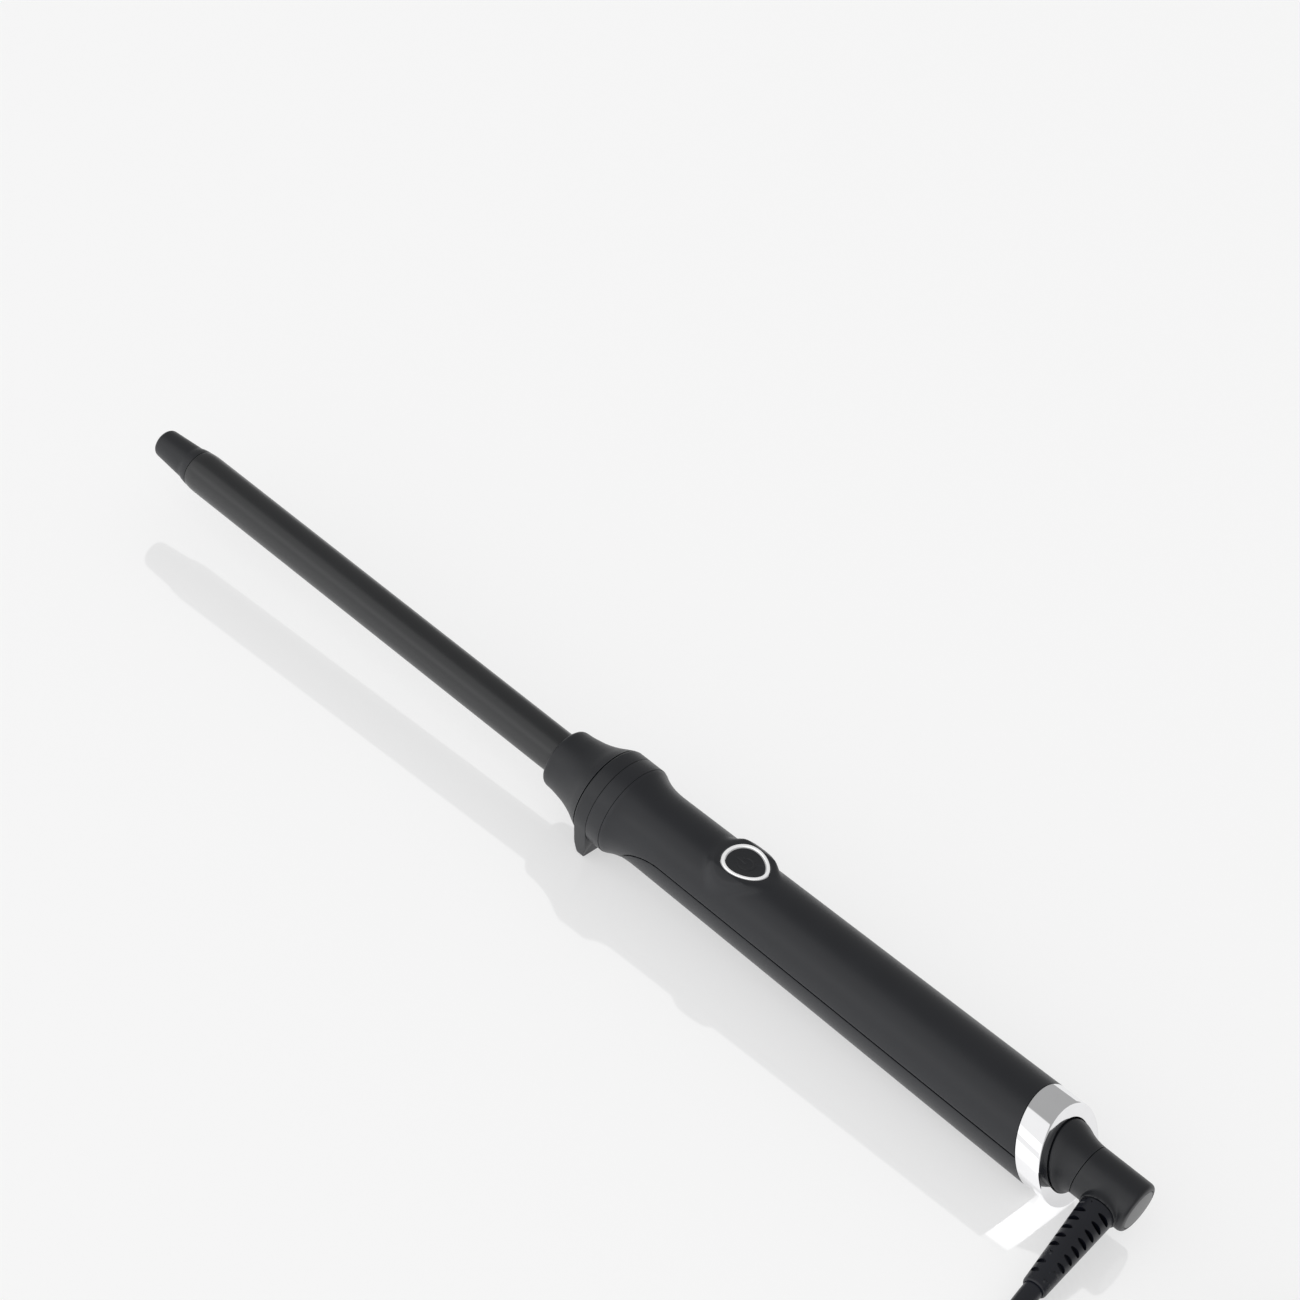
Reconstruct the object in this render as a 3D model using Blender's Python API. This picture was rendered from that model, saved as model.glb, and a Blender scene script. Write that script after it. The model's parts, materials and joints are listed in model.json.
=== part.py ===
"""Curling wand: a thin heated barrel on a round handle.

It has a stand foot, a push button and a turning cord elbow.

Metres, +Z up. The origin is the middle of the foot's flat underside, on the table that the wand rests on. The
wand lies along X, tip towards -X. Its own axis climbs towards the tip, because the foot is deeper than the
rear collar, so every piece of it is modelled along a straight axis and parented to one tilted empty.
"""

import math

import bmesh
import bpy
import numpy as np
from mathutils import Matrix, Vector

MM = 0.001
GAP = 0.3 * MM  # what touching pieces keep between them
SEAM = 0.4 * MM  # the parting line between the handle's two halves
CORD_R = 3.0 * MM

# Barrel and cool tip, along the wand's axis; x = 0 is where the stand flange meets the handle's front ring
BARREL_R = 7.0 * MM
BARREL_WALL = 1.0 * MM
BARREL_FRONT = -193.9 * MM
BARREL_BACK = -8.0 * MM
BARREL_CHAMFER = 2.4 * MM
TIP_LENGTH = 17.0 * MM
TIP_END_R = 4.95 * MM
TIP_ROOT_R = 5.75 * MM
TIP_SHOULDER_R = BARREL_R - 0.35 * MM
TIP_WAIST = 5.0 * MM  # length that the shoulder swells over
TIP_ROUND = 1.1 * MM
TIP_SPIGOT = 10.0 * MM
HEATER_FRONT = BARREL_FRONT + 17.9 * MM
HEATER_BACK = -46.0 * MM
HEATER_WIDE = 8.0 * MM
HEATER_THICK = 1.3 * MM
SENSOR = (-44.0 * MM, -38.0 * MM, 1.5 * MM)  # front, back and radius
FUSE = (-34.0 * MM, -24.0 * MM, 1.8 * MM)
FUSE_LIFT = 3.2 * MM
LEAD_R = 0.6 * MM
HEATER_LEAD = (
    (HEATER_BACK + 0.6 * MM, 2.6 * MM, 0.0),
    (-36.0 * MM, 3.4 * MM, 0.0),
    (-20.0 * MM, 3.6 * MM, -1.0 * MM),
    (0.0, 4.0 * MM, -0.6 * MM),
    (14.0 * MM, 5.5 * MM, 1.6 * MM),
    (20.0 * MM, 6.0 * MM, 2.8 * MM),
    (24.6 * MM, 6.0 * MM, 2.8 * MM),
)
SENSOR_LEAD = (
    (SENSOR[1] + 0.6 * MM, 0.0, 0.0),
    (-20.0 * MM, 0.0, -2.6 * MM),
    (0.0, 0.0, -2.0 * MM),
    (14.0 * MM, 0.0, 1.8 * MM),
    (24.6 * MM, 0.0, 2.8 * MM),
)

# Nose, stand flange and front ring
NOSE_FRONT = -23.9 * MM
NOSE_BORE_R = BARREL_R + 1.3 * MM
NOSE_R = NOSE_BORE_R + 1.95 * MM
NOSE_ROOT_R = 15.05 * MM
NOSE_ROUND = 1.3 * MM
NOSE_LIP = 2.2 * MM  # length of the front that closes on the barrel
NOSE_HOLLOW_R = 11.6 * MM
NOSE_HOLLOW = 6.7 * MM
NOSE_FLARE = ((0.2, 0.04), (0.34, 0.11), (0.48, 0.21), (0.62, 0.37), (0.76, 0.57), (0.89, 0.81))
FLANGE_WIDTH = 5.0 * MM
FLANGE_R = 15.4 * MM
FLANGE_BEVEL = 0.8 * MM
FLANGE_EDGE = 0.4 * MM
FOOT_DROP = 18.9 * MM  # from the wand's axis to the flat that it stands on
FOOT_TAPER = math.radians(14.5)
FOOT_CORNER = 1.8 * MM
FOOT_THIN = 2.5 * MM
FOOT_THINS_AT = 14.0 * MM  # depth below the axis where the foot starts to thin
FOOT_FLAT = 0.01 * MM
RING_WIDTH = 5.0 * MM
SEAT_BACK = RING_WIDTH + 3.2 * MM
SEAT_FLANGE = 2.0 * MM
RING_BACK_R = NOSE_BORE_R + 2.7 * MM

# Handle; its parting line is level, and dips under the neck in front
HANDLE_FRONT = RING_WIDTH + GAP + 0.15 * MM
NECK_X = 17.0 * MM
NECK_R = 12.8 * MM
HANDLE_GROWTH = 0.0106  # radius gained for each length behind the neck
HANDLE_WALL = 2.0 * MM
FLARE_POWER = 2.6
FLARE_START = HANDLE_FRONT + 0.25 * MM
HANDLE_STEPS = (0.25, 1.0, 2.0, 3.4, 5.2, 7.6)  # millimetres behind the front where the flare is set out
LIP_ROUND = 0.2 * MM
SEAT_FLANGE_R = NECK_R - HANDLE_WALL - 0.7 * MM  # inside the handle's neck
COVER_TOP = 0.9 * MM  # height of the parting line over the axis
COVER_NOSE_X = 28.0 * MM
COVER_NOSE_LONG = 17.0 * MM
COVER_NOSE_DEEP = 13.9 * MM
BEYOND = 30.0 * MM  # how far cutters reach past what they cut

# Rear collar; its faces lean, so that it is longer below than above
SLANT = 0.45
COLLAR_FRONT = 168.05 * MM
COLLAR_WIDTH = 9.0 * MM
COLLAR_R = NECK_R + HANDLE_GROWTH * (COLLAR_FRONT - NECK_X) + 0.05 * MM
COLLAR_WALL = 2.0 * MM
COLLAR_WEB = 2.5 * MM
BELL_R = 10.2 * MM
COLLAR_HOLE_R = BELL_R + GAP

# Button
BUTTON_X = 49.0 * MM
BEZEL_LONG = 7.6 * MM  # half length
BEZEL_WIDE = 7.3 * MM  # half width
BEZEL_RIM = 1.15 * MM
EGG = 0.16
POD_TOP = NECK_R + 0.5 * MM
POD_REACH = 1.62  # of the button's own outline
POD_FADE = 0.5
POD_MOST = 2.2 * MM
POD_LONG = 2.1 * BEZEL_LONG  # half length that the pod fades out over
POD_STEPS = (-1.0, -0.78, -0.62, -0.47, -0.28, -0.09, 0.09, 0.28, 0.47, 0.62, 0.78, 1.0)
BEZEL_TOP = POD_TOP + 0.2 * MM
BEZEL_BOTTOM = POD_TOP - 2.4 * MM
BUTTON_TOP = POD_TOP - 0.1 * MM
BUTTON_BOTTOM = BEZEL_BOTTOM - 0.2 * MM
BUTTON_DISH = 0.25 * MM
STEM_R = 1.6 * MM
STEM_GAP = 0.8 * MM  # the button's travel and what is left over

# Swivel and cord elbow
BELL_LONG = 6.65 * MM
SWIVEL_X = COLLAR_FRONT + COLLAR_WIDTH + BELL_LONG
ELBOW_R = 8.15 * MM
ELBOW_LONG = 17.8 * MM
ELBOW_CAP_R = ELBOW_R - 1.75 * MM
ELBOW_ROUND = 1.7 * MM
SOCKET_LONG = 5.5 * MM
CAP_DEEP = 1.2 * MM
BUSH_R = 5.4 * MM
SPINDLE_R = 4.1 * MM
SPINDLE_BORE_R = 2.6 * MM
SPINDLE_FRONT = COLLAR_FRONT - 20.05 * MM
DRUM = (COLLAR_FRONT - 18.55 * MM, COLLAR_FRONT - 4.55 * MM)
DRUM_R = SPINDLE_R + 2.2 * MM
TRACK_R = DRUM_R + 1.2 * MM
TRACKS = (("live", DRUM[0] + 2.0 * MM), ("neutral", DRUM[0] + 9.0 * MM))
TRACK_WIDE = 3.0 * MM
BRUSH_INSET = 0.4 * MM
BRUSH_WIDE = 3.0 * MM
BRUSH_TOP = TRACK_R + 2.1 * MM
HOLDER_HALF = 3.8 * MM
SUPPLY_LEAD = (
    (DRUM[0] - 3.2 * MM, 2.0 * MM, 10.5 * MM),
    (DRUM[0] - 7.5 * MM, 2.6 * MM, 9.6 * MM),
    (DRUM[0] - 11.0 * MM, 4.6 * MM, 5.4 * MM),
    (DRUM[0] - 13.7 * MM, 5.4 * MM, 2.8 * MM),
)
SPINDLE_DEEP = 5.0 * MM  # how far the spindle goes into the elbow
CLIP = (COLLAR_FRONT - 3.65 * MM, COLLAR_FRONT - 2.65 * MM)
CLIP_R = SPINDLE_R + 3.1 * MM
RELIEF_X = SWIVEL_X + 9.4 * MM
RELIEF_WAY = Vector((0.0905, -0.9745, -0.209)).normalized()
RELIEF_START = ELBOW_R + 0.65 * MM
RELIEF_END = 40.5 * MM
RELIEF_ROOT_R = 5.6 * MM
RELIEF_TIP_R = CORD_R + 0.6 * MM
RELIEF_SLOTS = 9
RELIEF_PITCH = 3.2 * MM
RELIEF_SLOT = 1.3 * MM
SLOT_LONG = 4.6 * MM
SLOT_FLOOR_R = CORD_R + 0.1 * MM
SLOT_DEEP = 6.0 * MM
SLOT_NARROWING = 0.09  # of the distance from the root
RELIEF_BOSS_R = RELIEF_ROOT_R + 0.7 * MM
RELIEF_BOSS_INNER = 3.0 * MM

# Circuit board and what it carries
BOARD_FRONT = NECK_X + 8.0 * MM
BOARD_BACK = COLLAR_FRONT - 33.05 * MM
BOARD_WIDE = 17.0 * MM
BOARD_UNDER = 2.0 * MM
BOARD_TOP = 3.6 * MM
BOARD_SCREWS = (BOARD_FRONT + 5.0 * MM, BOARD_FRONT + 56.0 * MM, BOARD_BACK - 4.0 * MM)
SCREW_R = 0.8 * MM
SCREW_HOLE_R = SCREW_R + GAP
SCREW_HEAD_R = 1.8 * MM
SCREW_BOSS_R = 2.4 * MM
CHASSIS_TOP = 0.6 * MM
CHASSIS_UNDER = -0.8 * MM
SWITCH_HALF = 3.0 * MM
SWITCH_TOP = BOARD_TOP + 3.8 * MM
STEM_BOTTOM = SWITCH_TOP + STEM_GAP
PART_FOOT = BOARD_TOP + GAP
LIGHT_X = 60.5 * MM
TRIAC = ((67.0 * MM, 76.0 * MM), (-4.5 * MM, 4.5 * MM), (PART_FOOT, PART_FOOT + 4.1 * MM))
CAN = (86.0 * MM, 99.0 * MM, 3.1 * MM)
FILM = ((103.0 * MM, 115.0 * MM), (-3.6 * MM, 3.6 * MM), (PART_FOOT, PART_FOOT + 5.7 * MM))
BUZZER_X = 122.5 * MM
BUZZER_R = 3.6 * MM
BUZZER_HIGH = 4.3 * MM

# Cord and plug
COIL_MIDDLE = Vector((289.0, -29.5, 0.0)) * MM
COIL_R = 32.0 * MM
COIL_WIDE = 24.0 * MM
COIL_HIGH = 18.0 * MM
COIL_LIFT = 0.95 * MM
COIL_CORNER_R = 3.0 * MM
TIE_WIDE = 9.0 * MM
TIE_THICK = 0.55 * MM
TIE_STAND_OFF = 1.6 * MM  # the ring curves, so the straight band stands off it
TIE_ANGLE = math.radians(50.0)
PLUG_X = 349.5 * MM
PLUG_Z = 6.9 * MM
PLUG_BACK = -30.0 * MM
PLUG_LONG = 26.3 * MM
PLUG_WIDE = 13.2 * MM  # half width at the face
PLUG_HIGH = 6.7 * MM
PLUG_SHAPE = ((0.0, 0.36, 0.72), (0.22, 0.56, 0.88), (0.56, 0.88, 0.97), (0.96, 1.0, 1.0), (1.0, 0.95, 0.91))
PLUG_SQUARENESS = 0.6
BOOT_LONG = 13.4 * MM
BOOT_TIP_R = CORD_R + 0.2 * MM
BOOT_R = CORD_R + 1.6 * MM
PIN_R = 2.0 * MM
PIN_LONG = 19.0 * MM
PIN_APART = 9.5 * MM  # from the plug's middle
PIN_TAPER = 1.0 * MM

ROUND = 40  # sides of the large turned pieces
SMALL_ROUND = 20

TILT = math.atan2(FOOT_DROP - COLLAR_R, COLLAR_FRONT + COLLAR_WIDTH + SLANT * COLLAR_R + FLANGE_WIDTH / 2)

MATERIALS = {
    "barrel_coat": ((0.060, 0.062, 0.066), 0.38, 0.55),
    "heat_plastic": ((0.040, 0.041, 0.044), 0.55, 0.0),
    "handle_plastic": ((0.034, 0.035, 0.038), 0.48, 0.0),
    "chrome": ((0.86, 0.86, 0.87), 0.06, 1.0),
    "cap_grey": ((0.22, 0.22, 0.23), 0.45, 0.0),
    "rubber": ((0.018, 0.019, 0.026), 0.5, 0.0),
    "brass": ((0.78, 0.60, 0.30), 0.25, 1.0),
    "steel": ((0.62, 0.62, 0.63), 0.3, 1.0),
    "aluminium": ((0.75, 0.75, 0.76), 0.35, 1.0),
    "ceramic": ((0.82, 0.80, 0.76), 0.5, 0.0),
    "board_green": ((0.02, 0.16, 0.08), 0.4, 0.0),
    "part_black": ((0.03, 0.03, 0.03), 0.4, 0.0),
    "capacitor_blue": ((0.05, 0.10, 0.25), 0.35, 0.0),
    "lead_white": ((0.8, 0.8, 0.78), 0.5, 0.0),
    "led_clear": ((0.85, 0.88, 0.9), 0.1, 0.0),
}


# ---------------------------------------------------------------- helpers


def clear_scene():
    for obj in list(bpy.data.objects):
        bpy.data.objects.remove(obj, do_unlink=True)


def material(name):
    made = bpy.data.materials.get(name)
    if made is None:
        colour, roughness, metallic = MATERIALS[name]
        made = bpy.data.materials.new(name)
        made.use_nodes = True
        shader = made.node_tree.nodes["Principled BSDF"]
        shader.inputs["Base Color"].default_value = (*colour, 1.0)
        shader.inputs["Roughness"].default_value = roughness
        shader.inputs["Metallic"].default_value = metallic
    return made


def wand_axis():
    """The empty that every piece of the wand hangs on: its X runs along the axis, towards the cord."""
    axis = bpy.data.objects.new("wand_axis", None)
    bpy.context.collection.objects.link(axis)
    turn = Matrix.Rotation(TILT, 4, "Y")
    axis.matrix_world = turn @ Matrix.Translation((FLANGE_WIDTH / 2, 0.0, FOOT_DROP))
    return axis


def add(name, bm, finish, parent=None, sharp=35.0):
    """Closes a bmesh into an object with its normals out."""
    bmesh.ops.remove_doubles(bm, verts=bm.verts, dist=1e-7)
    bmesh.ops.recalc_face_normals(bm, faces=bm.faces)
    mesh = bpy.data.meshes.new(name)
    bm.to_mesh(mesh)
    bm.free()
    mesh.shade_smooth()
    mesh.set_sharp_from_angle(angle=math.radians(sharp))
    mesh.materials.append(material(finish))
    obj = bpy.data.objects.new(name, mesh)
    bpy.context.collection.objects.link(obj)
    obj.parent = parent
    return obj


def set_origin(obj, point):
    """Moves the object's origin to a point given in its parent's frame, without moving its shape."""
    obj.data.transform(Matrix.Translation(-Vector(point)))
    obj.location = point


def skin(rings, wrap):
    """A bmesh over rings of equally many points: closed on itself with wrap, or else capped at both ends."""
    bm = bmesh.new()
    rows = [[bm.verts.new(point) for point in ring] for ring in rings]
    pairs = list(zip(rows, rows[1:]))
    if wrap:
        pairs.append((rows[-1], rows[0]))
    count = len(rows[0])
    for first, second in pairs:
        for i in range(count):
            j = (i + 1) % count
            bm.faces.new((first[i], first[j], second[j], second[i]))
    if not wrap:
        bm.faces.new(rows[0])
        bm.faces.new(rows[-1])
    return bm


def circle_points(x, radius, steps, lean=0.0):
    turns = np.linspace(0.0, 2.0 * math.pi, steps, endpoint=False)
    return [(x - lean * radius * math.sin(t), radius * math.cos(t), radius * math.sin(t)) for t in turns]


def turned(name, profile, finish, parent, steps=ROUND):
    """A piece turned about X from (x, radius) or (x, radius, lean) points, which run along its section.

    A section that starts and ends on the axis makes a solid; any other closes on itself and makes a ring.
    """
    solid = profile[0][1] == 0.0
    points = profile[1:-1] if solid else profile
    rings = [circle_points(x, r, steps, *lean) for x, r, *lean in points]
    return add(name, skin(rings, not solid), finish, parent)


def box(name, spans, finish, parent):
    """A block from its spans along X, Y and Z."""
    bm = bmesh.new()
    bmesh.ops.create_cube(bm, size=1.0)
    low, high = (Vector([span[i] for span in spans]) for i in (0, 1))
    bm.transform(Matrix.Translation((low + high) / 2) @ Matrix.Diagonal((*(high - low), 1.0)))
    return add(name, bm, finish, parent)


def post(name, centre, stops, finish, parent, steps=SMALL_ROUND):
    """An upright turned piece: stops are (z, radius) pairs from the top down."""
    rings = []
    for z, radius in stops:
        turns = np.linspace(0.0, 2.0 * math.pi, steps, endpoint=False)
        rings.append([(centre[0] + radius * math.cos(t), centre[1] + radius * math.sin(t), z) for t in turns])
    return add(name, skin(rings, False), finish, parent)


def capsule(name, spot, finish, parent):
    """A short rod along X with rounded ends, from its front, back and radius."""
    front, back, radius = spot
    nick = 0.4 * radius
    return turned(
        name,
        [
            (front, 0.0),
            (front, radius - nick),
            (front + nick, radius),
            (back - nick, radius),
            (back, radius - nick),
            (back, 0.0),
        ],
        finish,
        parent,
        SMALL_ROUND,
    )


def sleeve(name, span, inner, outer, finish, parent):
    """A plain ring about X."""
    low, high = span
    profile = [(low, inner), (low, outer), (high, outer), (high, inner)]
    return turned(name, profile, finish, parent, SMALL_ROUND + 8)


def lead(name, route, side, parent):
    """A thin wire through (x, y, z) points, on one side of the middle."""
    return tube(name, [Vector((x, side * y, z)) for x, y, z in route], LEAD_R, "lead_white", parent)


def prism(name, outline, low, high, finish, parent):
    """An (x, y) outline raised from low to high."""
    return add(name, skin([[(x, y, z) for x, y in outline] for z in (low, high)], False), finish, parent)


def cut(obj, cutter, operation="DIFFERENCE"):
    cutter.hide_render = True
    cutter.display_type = "WIRE"
    modifier = obj.modifiers.new(cutter.name, "BOOLEAN")
    modifier.operation = operation
    modifier.object = cutter
    return modifier


def smooth_route(points, spacing):
    """Points every spacing along a smooth curve through the route's own points."""
    points = [Vector(p) for p in points]
    ends = [2 * points[0] - points[1], *points, 2 * points[-1] - points[-2]]
    fine = []
    for a, b, c, d in zip(ends, ends[1:], ends[2:], ends[3:]):
        for t in np.linspace(0.0, 1.0, 24, endpoint=False):
            slope, bend, twist = c - a, 2 * a - 5 * b + 4 * c - d, 3 * b - a - 3 * c + d
            fine.append(0.5 * (2 * b + slope * t + bend * t**2 + twist * t**3))
    fine.append(points[-1])
    run = np.concatenate([[0.0], np.cumsum([(q - p).length for p, q in zip(fine, fine[1:])])])
    wanted = np.linspace(0.0, run[-1], max(2, round(run[-1] / spacing) + 1))
    return np.stack([np.interp(wanted, run, [p[i] for p in fine]) for i in range(3)], axis=1)


def tube(name, points, radius, finish, parent=None, resolution=2):
    """A round lead or cord along a smooth curve."""
    places = smooth_route(points, 4.0 * radius)
    curve = bpy.data.curves.new(name, "CURVE")
    curve.dimensions = "3D"
    spline = curve.splines.new("POLY")
    spline.points.add(len(places) - 1)
    for point, place in zip(spline.points, places):
        point.co = (*place, 1.0)
    curve.bevel_depth = radius
    curve.bevel_resolution = resolution
    curve.use_fill_caps = True
    curve.materials.append(material(finish))
    obj = bpy.data.objects.new(name, curve)
    bpy.context.collection.objects.link(obj)
    obj.parent = parent
    return obj


# ---------------------------------------------------------------- shapes shared by pieces


def handle_radius(x):
    """The handle's outside: a flared front lip, a neck, and a slow growth towards the rear."""
    grown = NECK_R + HANDLE_GROWTH * max(0.0, x - NECK_X)
    along = (x - FLARE_START) / (NECK_X - FLARE_START)
    flare = (FLANGE_R - NECK_R) * (1.0 - min(max(along, 0.0), 1.0)) ** FLARE_POWER
    return grown + flare


def egg(long, wide, steps=36):
    """The button's outline: blunt towards the tip, narrower towards the cord."""
    turns = np.linspace(0.0, 2.0 * math.pi, steps, endpoint=False)
    return [(BUTTON_X + long * math.cos(t), wide * math.sin(t) * (1.0 - EGG * math.cos(t))) for t in turns]


def pod_radius(x, y, z, radius):
    """Raises the handle's round surface to the button's flat pod."""
    if z <= 0.0:
        return radius
    along = (x - BUTTON_X) / BEZEL_LONG
    across = y / (BEZEL_WIDE * (1.0 - EGG * max(-1.0, min(1.0, along))))
    away = math.hypot(along, across)
    share = min(max((POD_REACH - away) / POD_FADE, 0.0), 1.0)
    share = share * share * (3.0 - 2.0 * share)
    flat = POD_TOP * radius / z
    return radius + share * (min(flat, radius + POD_MOST) - radius)


def handle_tube(name, parent):
    """The whole handle as one tube, which the two halves are cut from."""
    back = COLLAR_FRONT - GAP
    front = [HANDLE_FRONT + step * MM for step in (0.0, *HANDLE_STEPS)]
    pod = [BUTTON_X + share * POD_LONG for share in POD_STEPS]
    rest = np.linspace(pod[-1], back, 6)[1:-1]
    stations = [(x, 0.0) for x in (*front, NECK_X, *pod, *rest)] + [(back, SLANT)]
    outer = []
    for x, lean in stations:
        radius = handle_radius(x) - (LIP_ROUND if x == HANDLE_FRONT else 0.0)
        ring = []
        for point in circle_points(x, radius, ROUND + 8, lean):
            size = pod_radius(point[0], point[1], point[2], radius) / radius
            ring.append((point[0], point[1] * size, point[2] * size))
        outer.append(ring)
    inner = []
    for x, lean in reversed(stations):
        clear = handle_radius(max(x, NECK_X)) - HANDLE_WALL
        inner.append(circle_points(x, clear, ROUND + 8, lean))
    return add(name, skin(outer + inner, True), "handle_plastic", parent)


def cover_space(name, parent, spare):
    """The room that the lower cover takes: flat on top, with a rounded front that dips under the neck."""
    top = COVER_TOP + spare
    long = COVER_NOSE_LONG + spare
    low = COVER_TOP - COVER_NOSE_DEEP
    far = COLLAR_FRONT + BEYOND
    turns = np.linspace(0.0, math.pi / 2, 9)
    outline = [(COVER_NOSE_X - long * math.sin(t), low + (top - low) * math.cos(t)) for t in turns]
    outline += [(COVER_NOSE_X - long, -BEYOND), (far, -BEYOND), (far, top)]
    rings = [[(x, y, z) for x, z in outline] for y in (-BEYOND, BEYOND)]
    return add(name, skin(rings, False), "handle_plastic", parent)


# ---------------------------------------------------------------- barrel


def make_barrel(axis):
    inner = BARREL_R - BARREL_WALL
    front, back = BARREL_FRONT, BARREL_BACK
    turned(
        "barrel_tube",
        [
            (back, inner),
            (back, BARREL_R),
            (front + BARREL_CHAMFER, BARREL_R),
            (front + 0.3 * BARREL_CHAMFER, BARREL_R - 0.12 * MM),
            (front, TIP_SHOULDER_R),
            (front, inner),
        ],
        "barrel_coat",
        axis,
    )
    make_tip(front - GAP, inner - GAP, axis)
    make_heater(inner - GAP, axis)


def make_tip(seat, spigot_r, axis):
    """The cool tip, which swells to meet the barrel and plugs into it."""
    start, waist = seat - TIP_LENGTH, seat - TIP_WAIST
    swelling = [
        (waist + along * TIP_WAIST, TIP_ROOT_R + (TIP_SHOULDER_R - TIP_ROOT_R) * swell)
        for along, swell in ((0.0, 0.0), (0.32, 0.22), (0.64, 0.83), (1.0, 1.0))
    ]
    turned(
        "cool_tip",
        [
            (start, 0.0),
            (start, TIP_END_R - TIP_ROUND),
            (start + 0.3 * TIP_ROUND, TIP_END_R - 0.3 * TIP_ROUND),
            (start + TIP_ROUND, TIP_END_R),
            *swelling,
            (seat, spigot_r),
            (seat + TIP_SPIGOT, spigot_r - 0.4 * MM),
            (seat + TIP_SPIGOT, 0.0),
        ],
        "heat_plastic",
        axis,
    )


def make_heater(shoe_r, axis):
    """A flat ceramic strip between two half-round shoes, with its sensor, fuse and leads behind it."""
    span = (HEATER_FRONT, HEATER_BACK)
    half = HEATER_THICK / 2
    box("heater_strip", (span, (-HEATER_WIDE / 2, HEATER_WIDE / 2), (-half, half)), "ceramic", axis)
    for name, side in (("heater_shoe_upper", 1), ("heater_shoe_lower", -1)):
        start_angle = math.asin((half + GAP) / shoe_r)
        turns = np.linspace(start_angle, math.pi - start_angle, 14)
        outline = [(shoe_r * math.cos(t), side * shoe_r * math.sin(t)) for t in turns]
        add(name, skin([[(x, y, z) for y, z in outline] for x in span], False), "aluminium", axis)
    capsule("temperature_sensor", SENSOR, "ceramic", axis)
    fuse = capsule("thermal_fuse", FUSE, "steel", axis)
    fuse.location.z = FUSE_LIFT
    for name, side in (("heater_lead_live", 1), ("heater_lead_neutral", -1)):
        lead(name, HEATER_LEAD, side, axis)
    lead("sensor_lead", SENSOR_LEAD, 1, axis)


# ---------------------------------------------------------------- nose, foot and ring


def make_front(axis):
    bore = BARREL_R + GAP
    back = -FLANGE_WIDTH - GAP
    long = back - NOSE_FRONT - NOSE_ROUND
    start, rise = NOSE_FRONT + NOSE_ROUND, NOSE_ROOT_R - NOSE_R
    flare = [(start + along * long, NOSE_R + rise * swell) for along, swell in NOSE_FLARE]
    turned(
        "nose_cone",
        [
            (NOSE_FRONT + NOSE_LIP, bore),
            (NOSE_FRONT, bore),
            (NOSE_FRONT, NOSE_R - NOSE_ROUND),
            (NOSE_FRONT + 0.3 * NOSE_ROUND, NOSE_R - 0.3 * NOSE_ROUND),
            (NOSE_FRONT + NOSE_ROUND, NOSE_R),
            *flare,
            (back, NOSE_ROOT_R),
            (back, NOSE_HOLLOW_R),
            (back - NOSE_HOLLOW, NOSE_BORE_R),
            (NOSE_FRONT + NOSE_LIP, NOSE_BORE_R),
        ],
        "heat_plastic",
        axis,
    )
    seat_r = NOSE_BORE_R - GAP
    seat_front = NOSE_FRONT + NOSE_LIP + 0.5 * MM
    turned(
        "barrel_seat",
        [
            (seat_front, bore),
            (seat_front, seat_r),
            (SEAT_BACK - SEAT_FLANGE, seat_r),
            (SEAT_BACK - SEAT_FLANGE, SEAT_FLANGE_R),
            (SEAT_BACK, SEAT_FLANGE_R),
            (SEAT_BACK, bore),
        ],
        "ceramic",
        axis,
        SMALL_ROUND + 8,
    )
    make_flange(axis)
    turned(
        "front_ring",
        [
            (GAP, NOSE_BORE_R),
            (GAP, FLANGE_R - FLANGE_EDGE / 2),
            (2 * GAP, FLANGE_R),
            (RING_WIDTH - GAP, FLANGE_R),
            (RING_WIDTH, FLANGE_R - FLANGE_EDGE / 2),
            (RING_WIDTH, RING_BACK_R),
            (RING_WIDTH - 1.0 * MM, NOSE_BORE_R),
        ],
        "handle_plastic",
        axis,
    )


def flange_outline():
    """(y, z) points: a round disc whose sides run on down to a flat-bottomed foot."""
    start = -FOOT_TAPER
    turns = np.linspace(start, math.pi - start, 31)
    points = [(FLANGE_R * math.cos(t), FLANGE_R * math.sin(t)) for t in turns]
    down = (-FOOT_DROP - points[0][1]) / math.cos(FOOT_TAPER)
    corner_y = points[0][0] + down * math.sin(FOOT_TAPER)
    left = []
    for share in (0.35, 0.7):
        drop = down * share
        left.append((-points[0][0] - drop * math.sin(FOOT_TAPER), points[0][1] + drop * math.cos(FOOT_TAPER)))
    middle = (-(corner_y - FOOT_CORNER), -FOOT_DROP + FOOT_CORNER)
    for t in np.linspace(math.pi + FOOT_TAPER, 1.5 * math.pi, 5):
        left.append((middle[0] + FOOT_CORNER * math.cos(t), middle[1] + FOOT_CORNER * math.sin(t)))
    return points + left + [(0.0, -FOOT_DROP)] + [(-y, z) for y, z in reversed(left)]


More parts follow.
